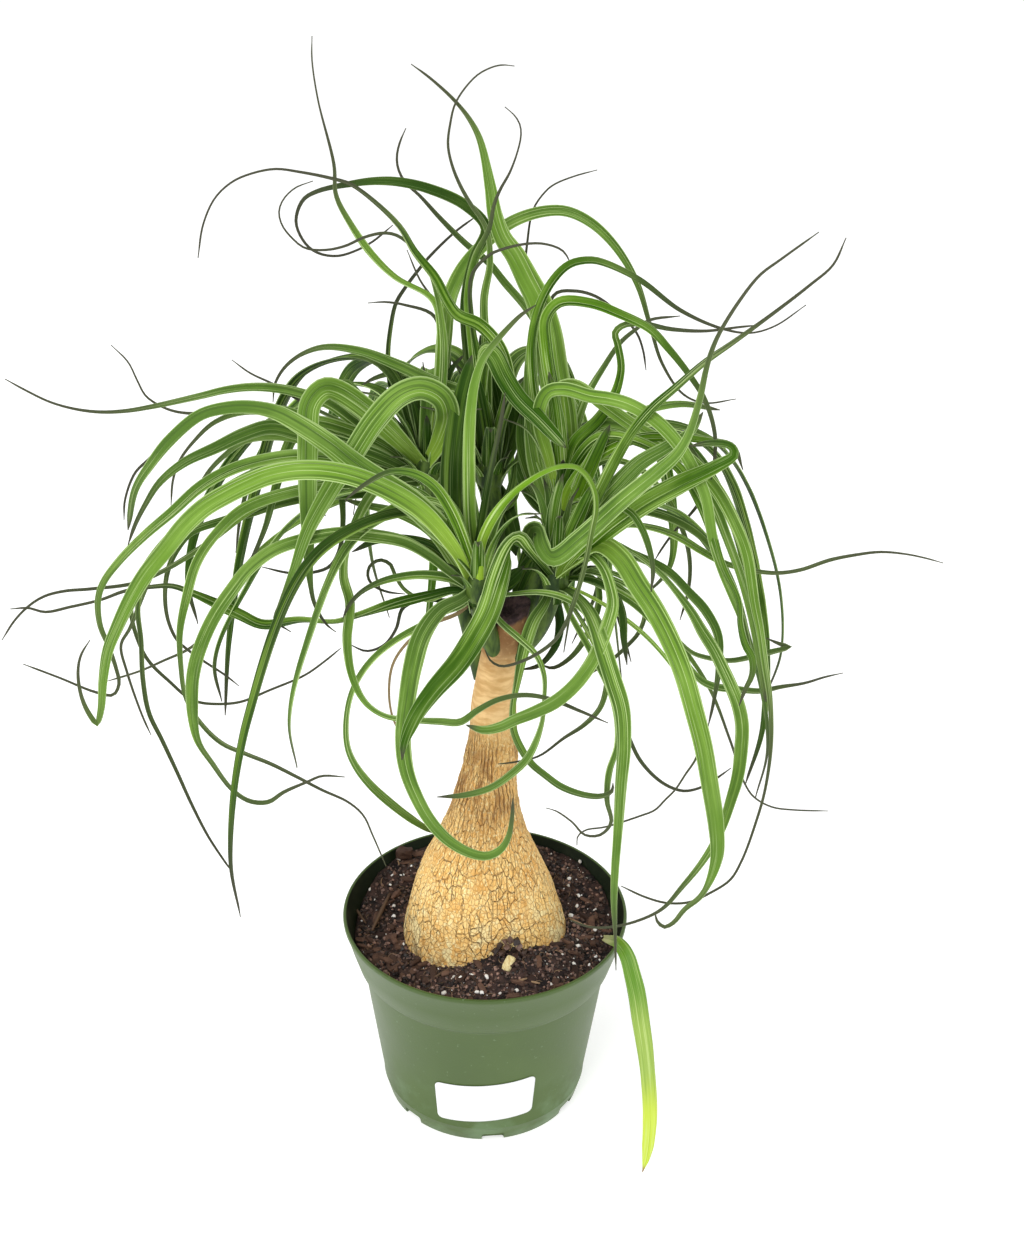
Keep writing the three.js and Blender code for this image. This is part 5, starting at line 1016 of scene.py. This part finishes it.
  ["small hook", "front_left", [6, 5, 4, 3, 2],
    [[455, 600], [420, 600, 8], [403, 608], [396, 629], [384, 645], [366, 651], [349, 644, 16]]],
  ["upper dark leaf", "front_left", [14, 14, 12, 9, 5],
    [[455, 562, 2], [430, 530], [395, 512, 16], [365, 505], [345, 500, 20]]],
  ["lower dark leaf", "front_left", [14, 14, 12, 9, 4],
    [[458, 572, 0], [435, 549], [408, 540, 18], [378, 540], [352, 552, 22]]],
  ["right great bow", "right", [14, 16, 20, 22, 21, 20, 20, 19, 18, 17, 14, 6, 5, 3],
    [[575, 560], [601, 545, -28], [620, 558], [638, 585], [655, 611, -52], [670, 640], [683, 672],
     [694, 710], [703, 745, -68], [710, 785], [716, 825], [717, 855], [710, 880, -70], [700, 897],
     [685, 909], [673, 923], [664, 927], [657, 921], [655, 912, -66]]],
  ["right plumb leaf", "right", [12, 12, 14, 18, 18, 15, 13, 11, 9, 8, 6, 3, 1.5],
    [[574, 596], [590, 616, -40], [603, 650], [613, 680], [622, 710], [624, 745, -68], [621, 785],
     [618, 830], [615, 870], [614, 900, -78], [615, 930], [616, 970, -78]]],
  ["right small hanger", "right", [6, 7, 8, 8, 3],
    [[575, 578], [600, 583, -14], [614, 594], [622, 612], [624, 640], [627, 665, -22]]],
  ["right deep hanger", "right", [8, 5, 4, 4, 6, 12, 13, 14, 14, 12, 9, 7, 5, 3, 2.5, 2],
    [[572, 565], [600, 541, -20], [630, 553], [657, 573], [675, 593], [690, 613, -30], [700, 630],
     [713, 650], [722, 668], [730, 685], [738, 705, -36], [742, 725], [741, 750], [738, 775], [731, 800],
     [720, 832], [703, 861], [682, 887, -48], [662, 909], [637, 921], [611, 927], [590, 927],
     [570, 920, -46]]],
  ["right level twist", "right", [6, 5, 4, 3, 4, 5, 6, 3],
    [[580, 572], [630, 588, 12], [664, 625], [690, 652], [706, 658], [730, 661, 22], [752, 657], [775, 651],
     [790, 647], [780, 644], [766, 638, 28]]],
  ["right level leaf", "right", [10, 9, 9, 8, 5, 8, 6, 3, 1.5],
    [[580, 578], [630, 600, 0], [665, 635], [688, 667], [701, 681], [716, 687], [735, 689, 8], [760, 691],
     [780, 687], [805, 683], [825, 677], [843, 673, 14]]],
  ["right scoop", "right", [6, 5, 4, 4, 4, 3, 2],
    [[568, 600], [592, 640, 8], [612, 690], [631, 742, 12], [640, 760], [655, 777], [670, 787], [685, 791],
     [702, 787], [717, 778], [731, 768, 16]]],
  ["right inward thread", "right", [6, 5, 4, 3, 2, 2, 1.5],
    [[572, 588], [605, 605, -2], [650, 640], [688, 690], [702, 725, 2], [697, 756], [685, 775], [675, 790],
     [665, 800], [655, 810, 6], [640, 816], [605, 827], [586, 830], [578, 836], [577, 845, 8]]],
  ["right flick", "right", [8, 6, 5, 3, 2, 1.5],
    [[580, 568], [650, 612, 20], [705, 680], [730, 740, 28], [744, 782], [754, 797], [772, 807],
     [795, 810], [828, 811, 34]]],
  ["right crook", "right", [8, 8, 7, 6, 5, 6, 7, 5, 3, 2, 1.5],
    [[566, 605], [590, 650, -22], [612, 700], [617, 742, -30], [609, 772], [607, 800], [611, 823],
     [600, 835, -32], [585, 835], [572, 822], [556, 811], [546, 808, -32]]],
  ["under trunk leaf", "right", [12, 14, 14, 10, 5, 7, 8, 7, 7, 6, 4],
    [[545, 602], [533, 622, -22], [524, 650], [517, 680], [512, 708, -30], [514, 733], [530, 762],
     [545, 775], [562, 787, -32], [585, 795], [602, 796], [612, 791], [613, 783, -34]]],
  ["trunk crossing", "front_left", [10, 8, 7, 6, 5, 3, 4, 8, 8, 7, 6, 3],
    [[486, 602], [500, 622, -30], [520, 640], [535, 655], [543, 675], [543, 700, -38], [541, 722],
     [528, 757], [510, 775, -48], [490, 788], [465, 795], [437, 797, -50]]],
  ["trunk girdle", "front_left", [6, 5, 6, 8, 8, 7, 6, 5, 3, 2, 2],
    [[485, 597], [510, 595, -22], [540, 593], [564, 598], [585, 611, -14], [600, 632], [608, 660],
     [607, 684], [600, 708], [584, 725, -20], [564, 738], [539, 756], [515, 762], [498, 764, -34]]],
  ["far right whip", "right", [8, 6, 5, 6, 8, 7, 5, 4, 4, 3, 2, 1.5],
    [[568, 558], [598, 534, -12], [625, 526], [655, 529], [680, 538], [700, 550], [722, 562, 4],
     [745, 569], [775, 573], [800, 570], [830, 560], [855, 555], [880, 552], [905, 554], [925, 558],
     [943, 563, 20]]],
  ["right shoulder leaf", "right", [8, 9, 10, 9, 8, 10, 9, 7, 4, 2],
    [[575, 568], [600, 553, -4], [622, 552], [645, 560], [668, 572], [688, 592], [705, 610, -8],
     [718, 635], [719, 665], [714, 700], [708, 727, -14]]],
  ["right back faller", "back_right", [10, 8, 6, 6, 5, 4, 2],
    [[568, 500], [600, 462], [635, 466, 48], [665, 495], [676, 515], [686, 540], [690, 565], [688, 592],
     [680, 620, 58]]],
  ["right drip", "right", [10, 8, 8, 8, 7, 3],
    [[568, 560], [595, 520, -30], [614, 506], [630, 512, -40], [641, 527], [649, 548], [653, 570],
     [651, 592, -48]]],
  ["right back dive", "back_right", [8, 7, 5, 5, 3, 2],
    [[572, 480], [605, 430], [650, 420, 45], [688, 445], [702, 475], [700, 500], [688, 517], [674, 532],
     [661, 550], [655, 560, 65]]],
  ["inner right ring", "right", [6, 6, 7, 7, 5, 3],
    [[575, 578], [594, 580, 10], [599, 600], [587, 635], [570, 658], [552, 668], [540, 664, 20]]],
  ["inner right hook", "right", [10, 10, 9, 6, 3],
    [[556, 600], [560, 622, 4], [557, 642], [549, 656], [538, 666], [520, 670, 8]]],
  ["inner right wisp", "right", [6, 5, 5, 4, 3],
    [[578, 570], [610, 572, 18], [638, 588], [645, 612], [639, 632], [627, 646], [614, 658], [600, 667],
     [570, 685, 30]]],
  ["broad folded shelf", "right", [16, 20, 21, 22, 22, 20, 14, 8, 5],
    [[566, 568], [600, 535, -26], [640, 506], [680, 484], [715, 467], [734, 455, -44], [731, 446],
     [713, 443], [690, 446, -30]]],
  ["right shelf", "back_right", [14, 14, 12, 10, 8, 3],
    [[570, 490], [600, 454], [640, 438, -2], [680, 437], [712, 441], [733, 446], [743, 470, -14]]],
  ["right upper shelf", "back_right", [12, 12, 10, 8, 4],
    [[568, 480], [600, 432], [640, 412, 30], [680, 404], [720, 410, 38]]],
  ["bright inner blade", "back_left", [14, 14, 12, 6],
    [[414, 455], [396, 432, 30], [386, 412], [380, 396, 26]]],
  ["bright right blade", "back_right", [16, 20, 16, 6],
    [[574, 500], [588, 470, 5], [600, 445], [610, 425, 0]]],
  ["bright centre blade", "back_right", [14, 18, 16, 6],
    [[562, 480], [559, 440], [555, 405, 12], [549, 372, 8]]],
  ["bright right heart", "right", [12, 16, 14, 5],
    [[556, 556], [553, 528], [556, 500, -12], [563, 474, -14]]],
  ["bright right heart blade", "right", [12, 16, 14, 5],
    [[562, 558], [572, 530], [584, 504, -18], [594, 482, -22]]],
  ["bright front heart", "front_left", [12, 15, 13, 5],
    [[472, 566], [459, 536], [447, 506, -24], [434, 482, -28]]],
  ["bright right shelf", "back_right", [14, 18, 20, 18, 12, 6],
    [[572, 505], [592, 510, 4], [613, 490, -10], [640, 463], [665, 448], [690, 432], [703, 412, -25]]],
]
STEM_RADIUS, CORE_RADII = 5.0, (7.2, 7.2, 9.6)
ROOT_RADIUS, GOLDEN_TURN = 2.6, math.radians(137.5)
LEAF_STEP, LEAF_ACROSS, LEAF_THICK = 2.6, 6, 0.5
ROOT_WIDTH, THREAD_WIDTH = 0.6, 0.45
POINT_LENGTH = 7  # over which a blade narrows to its end
CHANNEL, RIPPLE = 0.15, 0.035  # how deep they are, as a share of the leaf's width
RIPPLE_LENGTH = 16
THREAD_LIMITS = (1.1, 4.2)  # widths between which a blade fades into a dry thread
# How far a leaf may slide along its depth, or a leaf on the far side grow longer, to meet its solid.
SLIDES = [0] + [way * far for far in (0.5, 3, 6, 9, 12, 16, 20, 25, 30, 36, 44) for way in (1, -1)]
FITS = 1.6  # how near its solid a leaf has to run to be the same one


def random_from(state):
    """Even draws from 0 to 1, the same ones each time."""
    mask = 2**32 - 1

    def draw():
        nonlocal state
        state = (state + 0x6D2B79F5) & mask
        mixed = ((state ^ (state >> 15)) * (1 | state)) & mask
        mixed = ((mixed + (((mixed ^ (mixed >> 7)) * (61 | mixed)) & mask)) & mask) ^ mixed
        return ((mixed ^ (mixed >> 14)) & mask) / 2**32

    return draw


def unit(rows):
    return rows / np.maximum(np.linalg.norm(rows, axis=-1, keepdims=True), 1e-9)


def eased(share, low, high):
    share = np.clip((share - low) / (high - low), 0, 1)
    return share * share * (3 - 2 * share)


def route_curve(points, step=LEAF_STEP):
    """Evenly spaced places on the smooth curve through the points, and how far along each is."""
    points = np.array(points, float)
    knots = np.vstack([2 * points[0] - points[1], points, 2 * points[-1] - points[-2]])
    run = []
    for p0, p1, p2, p3 in zip(knots, knots[1:], knots[2:], knots[3:]):
        d0, d1, d2 = (math.sqrt(np.linalg.norm(b - a)) for a, b in ((p0, p1), (p1, p2), (p2, p3)))
        leave = d1 * ((p1 - p0) / d0 - (p2 - p0) / (d0 + d1) + (p2 - p1) / d1)
        arrive = d1 * ((p2 - p1) / d1 - (p3 - p1) / (d1 + d2) + (p3 - p2) / d2)
        s = np.linspace(0, 1, 24, endpoint=False)[:, None]
        bend = (3 * (p2 - p1) - 2 * leave - arrive) * s**2 + (2 * (p1 - p2) + leave + arrive) * s**3
        run.append(p1 + leave * s + bend)
    run = np.vstack([*run, points[-1:]])
    gone = np.concatenate([[0], np.cumsum(np.linalg.norm(np.diff(run, axis=0), axis=1))])
    even = np.linspace(0, gone[-1], max(int(gone[-1] / step), 12) + 1)
    return np.stack([np.interp(even, gone, run[:, k]) for k in range(3)], 1), even


def picture_scale(line):
    """How many mm a unit of the eye's picture is at each place of the line."""
    return (line - EYE) @ FORWARD / EYE_LENGTH


def facing_eye(line):
    """The side directions of a blade that shows its full width to the eye."""
    return unit(np.cross(unit(np.gradient(line, axis=0)), unit(line - EYE)))


def running_on(sides, tangents):
    """The side directions with no sudden flip or turn, square to the leaf's line."""
    for i in range(1, len(sides)):
        if sides[i] @ sides[i - 1] < 0:
            sides[i] = -sides[i]
    for _ in range(3):
        padded = np.vstack([sides[:1], sides[:1], sides, sides[-1:], sides[-1:]])
        sides = sum(padded[k : k + len(sides)] for k in range(5))
        sides = unit(sides - tangents * (sides * tangents).sum(1, keepdims=True))
    return sides


def seen_route(crown, points, root, slide):
    """The middle line's points in space, slid along the line of sight away from the root."""
    points = [crown, *points]
    known = [i for i, p in enumerate(points) if len(p) > 2]
    depths = np.interp(range(len(points)), known, [points[i][2] for i in known])
    route = np.array([seen(p[0], p[1], depth) for p, depth in zip(points, depths)])
    route[0] += root
    along = np.arange(len(route)) / (len(route) - 1)
    return route + unit(route - EYE) * (slide * eased(along, 0, 0.3))[:, None]


def far_route(crown, out, sway, far, root, slide):
    """The route of a leaf on the far side, which arches low and away."""
    stations = [
        (far["reach"] * 0.22, 0, far["rise"] + 12),
        (far["reach"] * 0.6 + slide * 0.5, far["wander"] * 0.15, far["rise"]),
        (far["reach"] * 0.9 + slide, far["wander"] * 0.45, -far["fall"] * 0.3),
        (far["reach"] + slide, far["wander"] * 0.8, -far["fall"] * 0.75),
        (far["reach"] * 0.97 + slide, far["wander"] * 1.3, -far["fall"]),
    ]
    return [crown + root] + [crown + out * o + sway * s + np.array([0, 0, up]) for o, s, up in stations]


def nearest_slide(solid, route_at):
    """The slide that brings a route closest to its head's solid, and how close that is."""
    tries = []
    for slide in SLIDES:
        line = route_curve(route_at(slide), 9)[0]
        tries.append((np.mean([solid.find_nearest(Vector(p) * MM)[3] for p in line]) / MM, slide))
    closest = min(tries)
    return closest[1], closest[0]


def add_leaf(bm, line, along, widths, sides, tone, dry, number):
    """One channelled blade along the line, on a grid of the bmesh."""
    steps = len(line) - 1
    tangents = unit(np.gradient(line, axis=0))
    sides = running_on(sides, tangents)
    faces = np.cross(tangents, sides)
    first = slice(0, steps * 6 // 10)
    if (faces[first, 2] + 0.3 * (faces[first] * unit(-line[first])).sum(1)).sum() < 0:
        sides, faces = -sides, -faces
    t = along / along[-1]
    grid = bmesh.ops.create_grid(bm, x_segments=LEAF_ACROSS, y_segments=steps, size=1)["verts"]
    strap, tint = bm.verts.layers.float_vector["strap"], bm.verts.layers.float_color["tint"]
    thread = bm.verts.layers.float["thread"]
    widths = np.maximum(THREAD_WIDTH, widths * np.sqrt(np.clip((along[-1] - along) / POINT_LENGTH, 0, 1)))
    for v in grid:
        share, i = v.co.x, round((v.co.y + 1) / 2 * steps)
        half = widths[i] / 2
        deep = CHANNEL * widths[i] * (1.5 - 0.9 * t[i]) * (abs(share) ** 1.15 - 0.35)
        wave = noise.noise(Vector((along[i] / RIPPLE_LENGTH, number * 3.1, share)))
        ripple = RIPPLE * widths[i] * share * wave
        v.co = Vector(line[i] + sides[i] * half * share + faces[i] * (deep + ripple)) * MM
        v[strap] = (half * share, along[i], number * 17)
        v[tint] = (t[i], tone, dry, abs(share))
        v[thread] = (1 - smoothstep(widths[i], *THREAD_LIMITS)) * smoothstep(t[i], 0.3, 0.65)


def leaf_finish(name, underside):
    """Green blade: lengthwise bands and veins, painted sheen, root yellow-green on bright leaves and painted
    with shade on dark ones, the narrow end grey and dry.
    """
    leaf = Finish(name, 0.45, 0.05)
    strap = leaf.node("Attribute", attribute_name="strap").outputs["Vector"]
    tint = leaf.node("Attribute", attribute_name="tint")
    parts = leaf.node("SeparateXYZ")
    leaf.link(tint.outputs["Vector"], parts.inputs[0])
    along, tone, dry = (parts.outputs[axis] for axis in "XYZ")
    bands = leaf.noise(1, 2, leaf.stretched(strap, (0.5, 0.007, 1)))
    veins = leaf.noise(1, 3, leaf.stretched(strap, (1.9, 0.010, 1)))
    patches = leaf.noise(1, 3, leaf.stretched(strap, (0.05, 0.02, 1)))
    dark = leaf.mixed(leaf.between(tone, 0.0, 0.5), (0.009, 0.031, 0.001), (0.066, 0.165, 0.006))
    green = leaf.mixed(leaf.between(tone, 0.5, 1.0), dark, (0.215, 0.420, 0.020))
    lively = leaf.between(tone, 0.0, 0.5, 0.15, 1)
    # Painted sheen: pale patches along the blades of lively leaves.
    sheen = leaf.product(leaf.between(patches, 0.44, 0.66, 0, 0.5), lively)
    green = leaf.mixed(sheen, green, (0.30, 0.49, 0.085))
    green = leaf.mixed(leaf.between(bands, 0.54, 0.68, 0, 0.4), green, (0.34, 0.56, 0.08))
    green = leaf.mixed(leaf.between(bands, 0.49, 0.34, 0, 0.75), green, (0.012, 0.050, 0.002))
    pale = leaf.product(leaf.between(veins, 0.54, 0.66, 0, 0.8), lively)
    green = leaf.mixed(pale, green, (0.74, 0.92, 0.40))
    green = leaf.mixed(leaf.between(veins, 0.46, 0.30, 0, 0.5), green, (0.010, 0.040, 0.002))
    green = leaf.mixed(leaf.between(along, 0.35, 0.85, 0, 0.5), green, (0.030, 0.092, 0.008))
    # Near the root, bright leaves turn yellow-green and darker ones are painted near black for the shade
    # inside the crown.
    heart = leaf.mixed(leaf.between(tone, 0.54, 0.72), (0.012, 0.040, 0.002), (0.36, 0.56, 0.045))
    green = leaf.mixed(leaf.between(along, 0.26, 0.02, 0, 0.85), green, heart)
    margin = leaf.product(leaf.between(tint.outputs["Alpha"], 0.89, 0.98, 0, 0.65), lively)
    green = leaf.mixed(margin, green, (0.58, 0.76, 0.33))
    if underside:
        green = leaf.mixed(leaf.product(lively, 0.25), green, (0.24, 0.38, 0.10))
    green = leaf.mixed(leaf.product(leaf.attribute("thread"), 0.9), green, (0.066, 0.060, 0.046))
    leaf.coloured(leaf.mixed(dry, green, (0.27, 0.20, 0.10)))
    leaf.link(leaf.between(veins, 0.3, 0.7, 0.52 if underside else 0.38, 0.6), leaf.skin.inputs["Roughness"])
    leaf.bumped(veins, 0.5, 0.0006)
    return leaf.material


leaf_materials = [leaf_finish("leaf_upper", False), leaf_finish("leaf_underside", True)]
stem_skin = Finish("young_stem", 0.6, 0.35)
stem_rings = stem_skin.noise(70, 4, stem_skin.stretched(stem_skin.place, (3, 3, 0.6)))
young = stem_skin.mixed(stem_skin.between(stem_rings, 0.35, 0.65), (0.014, 0.040, 0.004), (0.10, 0.17, 0.022))
stem_skin.coloured(young)
stem_skin.bumped(stem_rings, 0.7, 0.0008)

# Words in a leaf's name that say whether it is brighter or darker than most. For leaves deep in the crown
# ("behind", "centre") the darker tone is partly painted shade.
BRIGHT = ("strap", "bright", "front", "broad", "shelf", "bow", "riser")
DARK = ("dark", "behind", "centre", "hook", "hanger", "sweep")
MIDDLE_TONE, BRIGHTER, DARKER, BRIGHTEST = 0.43, 0.23, 0.36, 0.76
FAR_TONE, TONE_SPREAD = 0.30, 0.16
BACK_LEAVES = {"back_left": 6, "back_centre": 7, "back_right": 6, "right": 3, "front_left": 3}
BACK_FAN = {  # degrees round from +X
    "back_left": (95, 165), "back_centre": (60, 125), "back_right": (10, 80), "right": (5, 40),
    "front_left": (165, 200),
}
FAR_SIZES = {  # mm, and the twist in radians
    "reach": (85, 150), "rise": (14, 40), "fall": (60, 190), "wander": (-30, 30), "width": (8, 12.5),
    "twist": (-1.3, 1.3),
}


def leaf_layers(bm):
    """What a blade's material reads from its points."""
    bm.verts.layers.float_vector.new("strap")
    bm.verts.layers.float_color.new("tint")
    bm.verts.layers.float.new("thread")


# The same draws as in the solids, so that each leaf finds its own solid.
turn_draw, far_draw = random_from(7), random_from(23)
solids, blades, number = {}, {name: bmesh.new() for name in HEADS}, {name: 0 for name in HEADS}
for name, bm in blades.items():
    leaf_layers(bm)
    around = bmesh.new()
    around.from_mesh(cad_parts["head_" + name].data)
    solids[name] = BVHTree.FromBMesh(around)
    around.free()


def root_spot(order):
    turn = GOLDEN_TURN * order
    return np.array([ROOT_RADIUS * math.cos(turn), ROOT_RADIUS * math.sin(turn), order % 5 - 3])


for title, head, shown, points in LEAVES:
    way = -1 if turn_draw() < 0.5 else 1
    crown, root = HEADS[head][0], root_spot(number[head])
    slide = nearest_slide(solids[head], lambda s: seen_route(crown, points, root, s))[0]
    line, along = route_curve(seen_route(crown, points, root, slide))
    t = along / along[-1]
    shown = np.array(shown, float)
    full = np.maximum.accumulate(shown[::-1])[::-1]
    posts = np.linspace(0, 1, len(shown))
    showing, whole = np.interp(t, posts, shown), np.interp(t, posts, full)
    taper = ROOT_WIDTH + (1 - ROOT_WIDTH) * eased(t, 0.02, 0.22)
    widths = np.maximum(THREAD_WIDTH, taper * whole * picture_scale(line))
    tangents, wide_open = unit(np.gradient(line, axis=0)), facing_eye(line)
    edge_on = unit(np.cross(wide_open, tangents))
    turned = way * np.arccos(np.clip(showing / whole, 0.2, 1))[:, None]
    sides = wide_open * np.cos(turned) + edge_on * np.sin(turned)
    bright = "dark" not in title and any(word in title for word in BRIGHT)
    dark = not bright and any(word in title for word in DARK)
    tone = MIDDLE_TONE + BRIGHTER * bright - DARKER * dark + rng.normal(0, TONE_SPREAD)
    tone = min(max(tone, 0), BRIGHTEST)
    dry = float("dry" in title)
    add_leaf(blades[head], line, along, widths, sides, tone, dry, len(title) + number[head])
    number[head] += 1

for head, count in BACK_LEAVES.items():
    crown = seen(*HEADS[head][0])
    for i in range(count):
        first, last = BACK_FAN[head]
        turn = math.radians(first + (last - first) * i / (count - 1) + 8 * (far_draw() - 0.5))
        out = np.array([math.cos(turn), math.sin(turn), 0])
        sway = np.array([-out[1], out[0], 0])
        far = {size: low + (high - low) * far_draw() for size, (low, high) in FAR_SIZES.items()}
        root = root_spot(number[head])
        slide, miss = nearest_slide(solids[head], lambda s: far_route(crown, out, sway, far, root, s))
        if miss > FITS:  # it found no room among the others
            continue
        line, along = route_curve(far_route(crown, out, sway, far, root, slide))
        t = along / along[-1]
        taper = ROOT_WIDTH + (1 - ROOT_WIDTH) * eased(t, 0.02, 0.22)
        widths = np.maximum(THREAD_WIDTH, taper * far["width"] * (1 - 0.9 * t**1.7))
        tangents = unit(np.gradient(line, axis=0))
        flat = unit(sway - tangents * (tangents @ sway)[:, None])
        bank = (far["twist"] * t)[:, None]
        sides = flat * np.cos(bank) + np.cross(tangents, flat) * np.sin(bank)
        tone = FAR_TONE + rng.normal(0, TONE_SPREAD)
        add_leaf(blades[head], line, along, widths, sides, min(max(tone, 0), 1), 0.0, 40 + number[head])
        number[head] += 1

# Short young leaves stand in the heart of each head, with old ones that clasp the stem round them.
# Leaves painted near black fill the crown between the heads, standing for the shade inside it.
YOUNG_LEAVES, CLASPING = 12, 6
SUNLIT = ("front_left", "right")
CROWN_SHADE_FILLING = [  # head, width shown, tone and places
    ("back_centre", 24, 0.10, [(503, 452, 46), (512, 425, 48), (516, 395, 50)]),
    ("back_centre", 24, 0.08, [(500, 500, 40), (510, 528, 34), (516, 556, 28)]),
    ("back_right", 24, 0.12, [(541, 500, 32), (528, 482, 36), (518, 458, 40)]),
    ("back_right", 22, 0.08, [(540, 540, 28), (528, 562, 22), (520, 588, 18)]),
    ("back_right", 26, 0.40, [(541, 470, 30), (534, 430, 30), (530, 398, 32)]),
    ("back_left", 24, 0.12, [(440, 448, 40), (452, 420, 40), (458, 392, 42)]),
    ("back_left", 22, 0.10, [(440, 500, 30), (452, 522, 22), (460, 548, 12)]),
    ("back_centre", 24, 0.12, [(480, 452, 44), (470, 425, 44), (464, 400, 44)]),
    ("back_right", 20, 0.05, [(543, 550, 24), (526, 572, 20), (513, 604, 14)]),
    ("back_right", 18, 0.15, [(545, 500, 34), (531, 472, 36), (523, 442, 38), (521, 410, 38)]),
    ("back_centre", 15, 0.05, [(498, 506, 38), (509, 500, 37), (516, 478, 38), (518, 450, 40)]),
    ("front_left", 22, 0.03, [(492, 588, -2), (508, 581, 8), (524, 566, 16)]),
]
# Their low tones are painted shade.
for name, shown, tone, places in CROWN_SHADE_FILLING:
    line, along = route_curve([seen(*HEADS[name][0]), *(seen(*place) for place in places)])
    t = along / along[-1]
    widths = shown * picture_scale(line) * (0.6 + 0.4 * eased(t, 0, 0.4)) * (1 - 0.7 * t**4)
    add_leaf(blades[name], line, along, widths, facing_eye(line), tone, 0.0, 90 + shown)
for name, bm in blades.items():
    crown = seen(*HEADS[name][0])
    for i in range(YOUNG_LEAVES):
        clasps = i < CLASPING
        turn = GOLDEN_TURN * i + 0.5
        out = np.array([math.cos(turn), math.sin(turn), 0])
        reach = rng.uniform(10, 18) if clasps else rng.uniform(8, 34)
        rise = rng.uniform(18, 34) if clasps else rng.uniform(38, 62)
        foot = crown + out * (STEM_RADIUS - 1 if clasps else 2.5)
        foot = foot + [0, 0, rng.uniform(-13, -7) if clasps else -2]
        stations = [(0, 0), (0.1, 0.3), (0.32, 0.65), (0.65, 0.9), (1.1, 1.0)]
        line, along = route_curve([foot + out * reach * o + np.array([0, 0, rise * u]) for o, u in stations])
        t = along / along[-1]
        widths = rng.uniform(7.5, 10.5) * (0.75 + 0.25 * eased(t, 0, 0.3)) * (1 - 0.93 * t**1.6)
        sides = np.tile(np.array([-out[1], out[0], 0]), (len(line), 1))
        lowest, highest = (0.2, 0.5) if clasps else (0.35, 0.75) if name in SUNLIT else (0.0, 0.5)
        tone = rng.uniform(lowest, highest)
        add_leaf(bm, line, along, widths, sides, tone, 0.0, 60 + i)

for name, bm in blades.items():
    head = new_piece("leaves_" + name, bm, leaf_materials)
    thicken(head, LEAF_THICK, inner_slot=1)
    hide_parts("head_" + name)
    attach(head, "root")

    bm = toned_mesh()
    crown, stem = HEADS[name]
    crown = seen(*crown)
    line = route_curve([*stem, crown], 2)[0]
    strand(bm, line, STEM_RADIUS, 0.5, sides=24, taper=1)
    core = Matrix.Translation(Vector(crown + [0, 0, 2]) * MM) @ sized(CORE_RADII)
    bmesh.ops.create_icosphere(bm, subdivisions=4, radius=1, matrix=core)
    stalk = new_piece("stem_" + name, bm, [stem_skin.material])
    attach(stalk, "root")


# ---------------------------------------------------------------- shed leaf
# One old leaf has come away. It lies over the rim and hangs down outside, green above, turning
# yellow towards its brown tip.
SHED_WIDTHS = [6, 9, 12, 16, 18, 18, 17, 15, 15, 14.5, 12, 3]
SHED_ROUTE = [
    (604, 938, -13), (608, 939.4, -21.5), (612, 940.4, -29), (617, 942, -37), (621, 946, -43),
    (625, 952, -48.5), (628.5, 960, -52), (632, 973, -56), (636.5, 992, -59), (641, 1022, -62.5),
    (645.5, 1052, -65.5), (648.5, 1082, -68.5), (650, 1112, -71.5), (648.5, 1140, -74.5),
    (646, 1158, -77), (642.5, 1172, -79),
]
bm = bmesh.new()
leaf_layers(bm)
line, along = route_curve([seen(*p) for p in SHED_ROUTE], 1.6)
t = along / along[-1]
widths = np.interp(t, np.linspace(0, 1, len(SHED_WIDTHS)), SHED_WIDTHS) * picture_scale(line)
add_leaf(bm, line, along, widths, facing_eye(line), 0.5, 0, 71)
ageing = Finish("yellowing_leaf", 0.45, 0.4)
strap = ageing.node("Attribute", attribute_name="strap").outputs["Vector"]
parts = ageing.node("SeparateXYZ")
ageing.link(ageing.node("Attribute", attribute_name="tint").outputs["Vector"], parts.inputs[0])
veins = ageing.noise(1, 3, ageing.stretched(strap, (1.5, 0.015, 1)))
along_leaf = parts.outputs["X"]
faded = ageing.mixed(ageing.between(along_leaf, 0.06, 0.20), (0.62, 0.68, 0.36), (0.115, 0.270, 0.012))
faded = ageing.mixed(ageing.between(along_leaf, 0.34, 0.52), faded, (0.32, 0.47, 0.075))
faded = ageing.mixed(ageing.between(along_leaf, 0.62, 0.82), faded, (0.56, 0.70, 0.050))
faded = ageing.mixed(ageing.between(veins, 0.5, 0.64, 0, 0.45), faded, (0.66, 0.80, 0.30))
faded = ageing.mixed(ageing.between(veins, 0.46, 0.32, 0, 0.4), faded, (0.10, 0.24, 0.02))
faded = ageing.mixed(ageing.between(along_leaf, 0.97, 0.995), faded, (0.30, 0.16, 0.05))
ageing.coloured(faded)
ageing.bumped(veins, 0.5, 0.0006)
shed = new_piece("shed_leaf", bm, [ageing.material])
thicken(shed, LEAF_THICK)
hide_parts("draped_leaf")
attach(shed, "root")
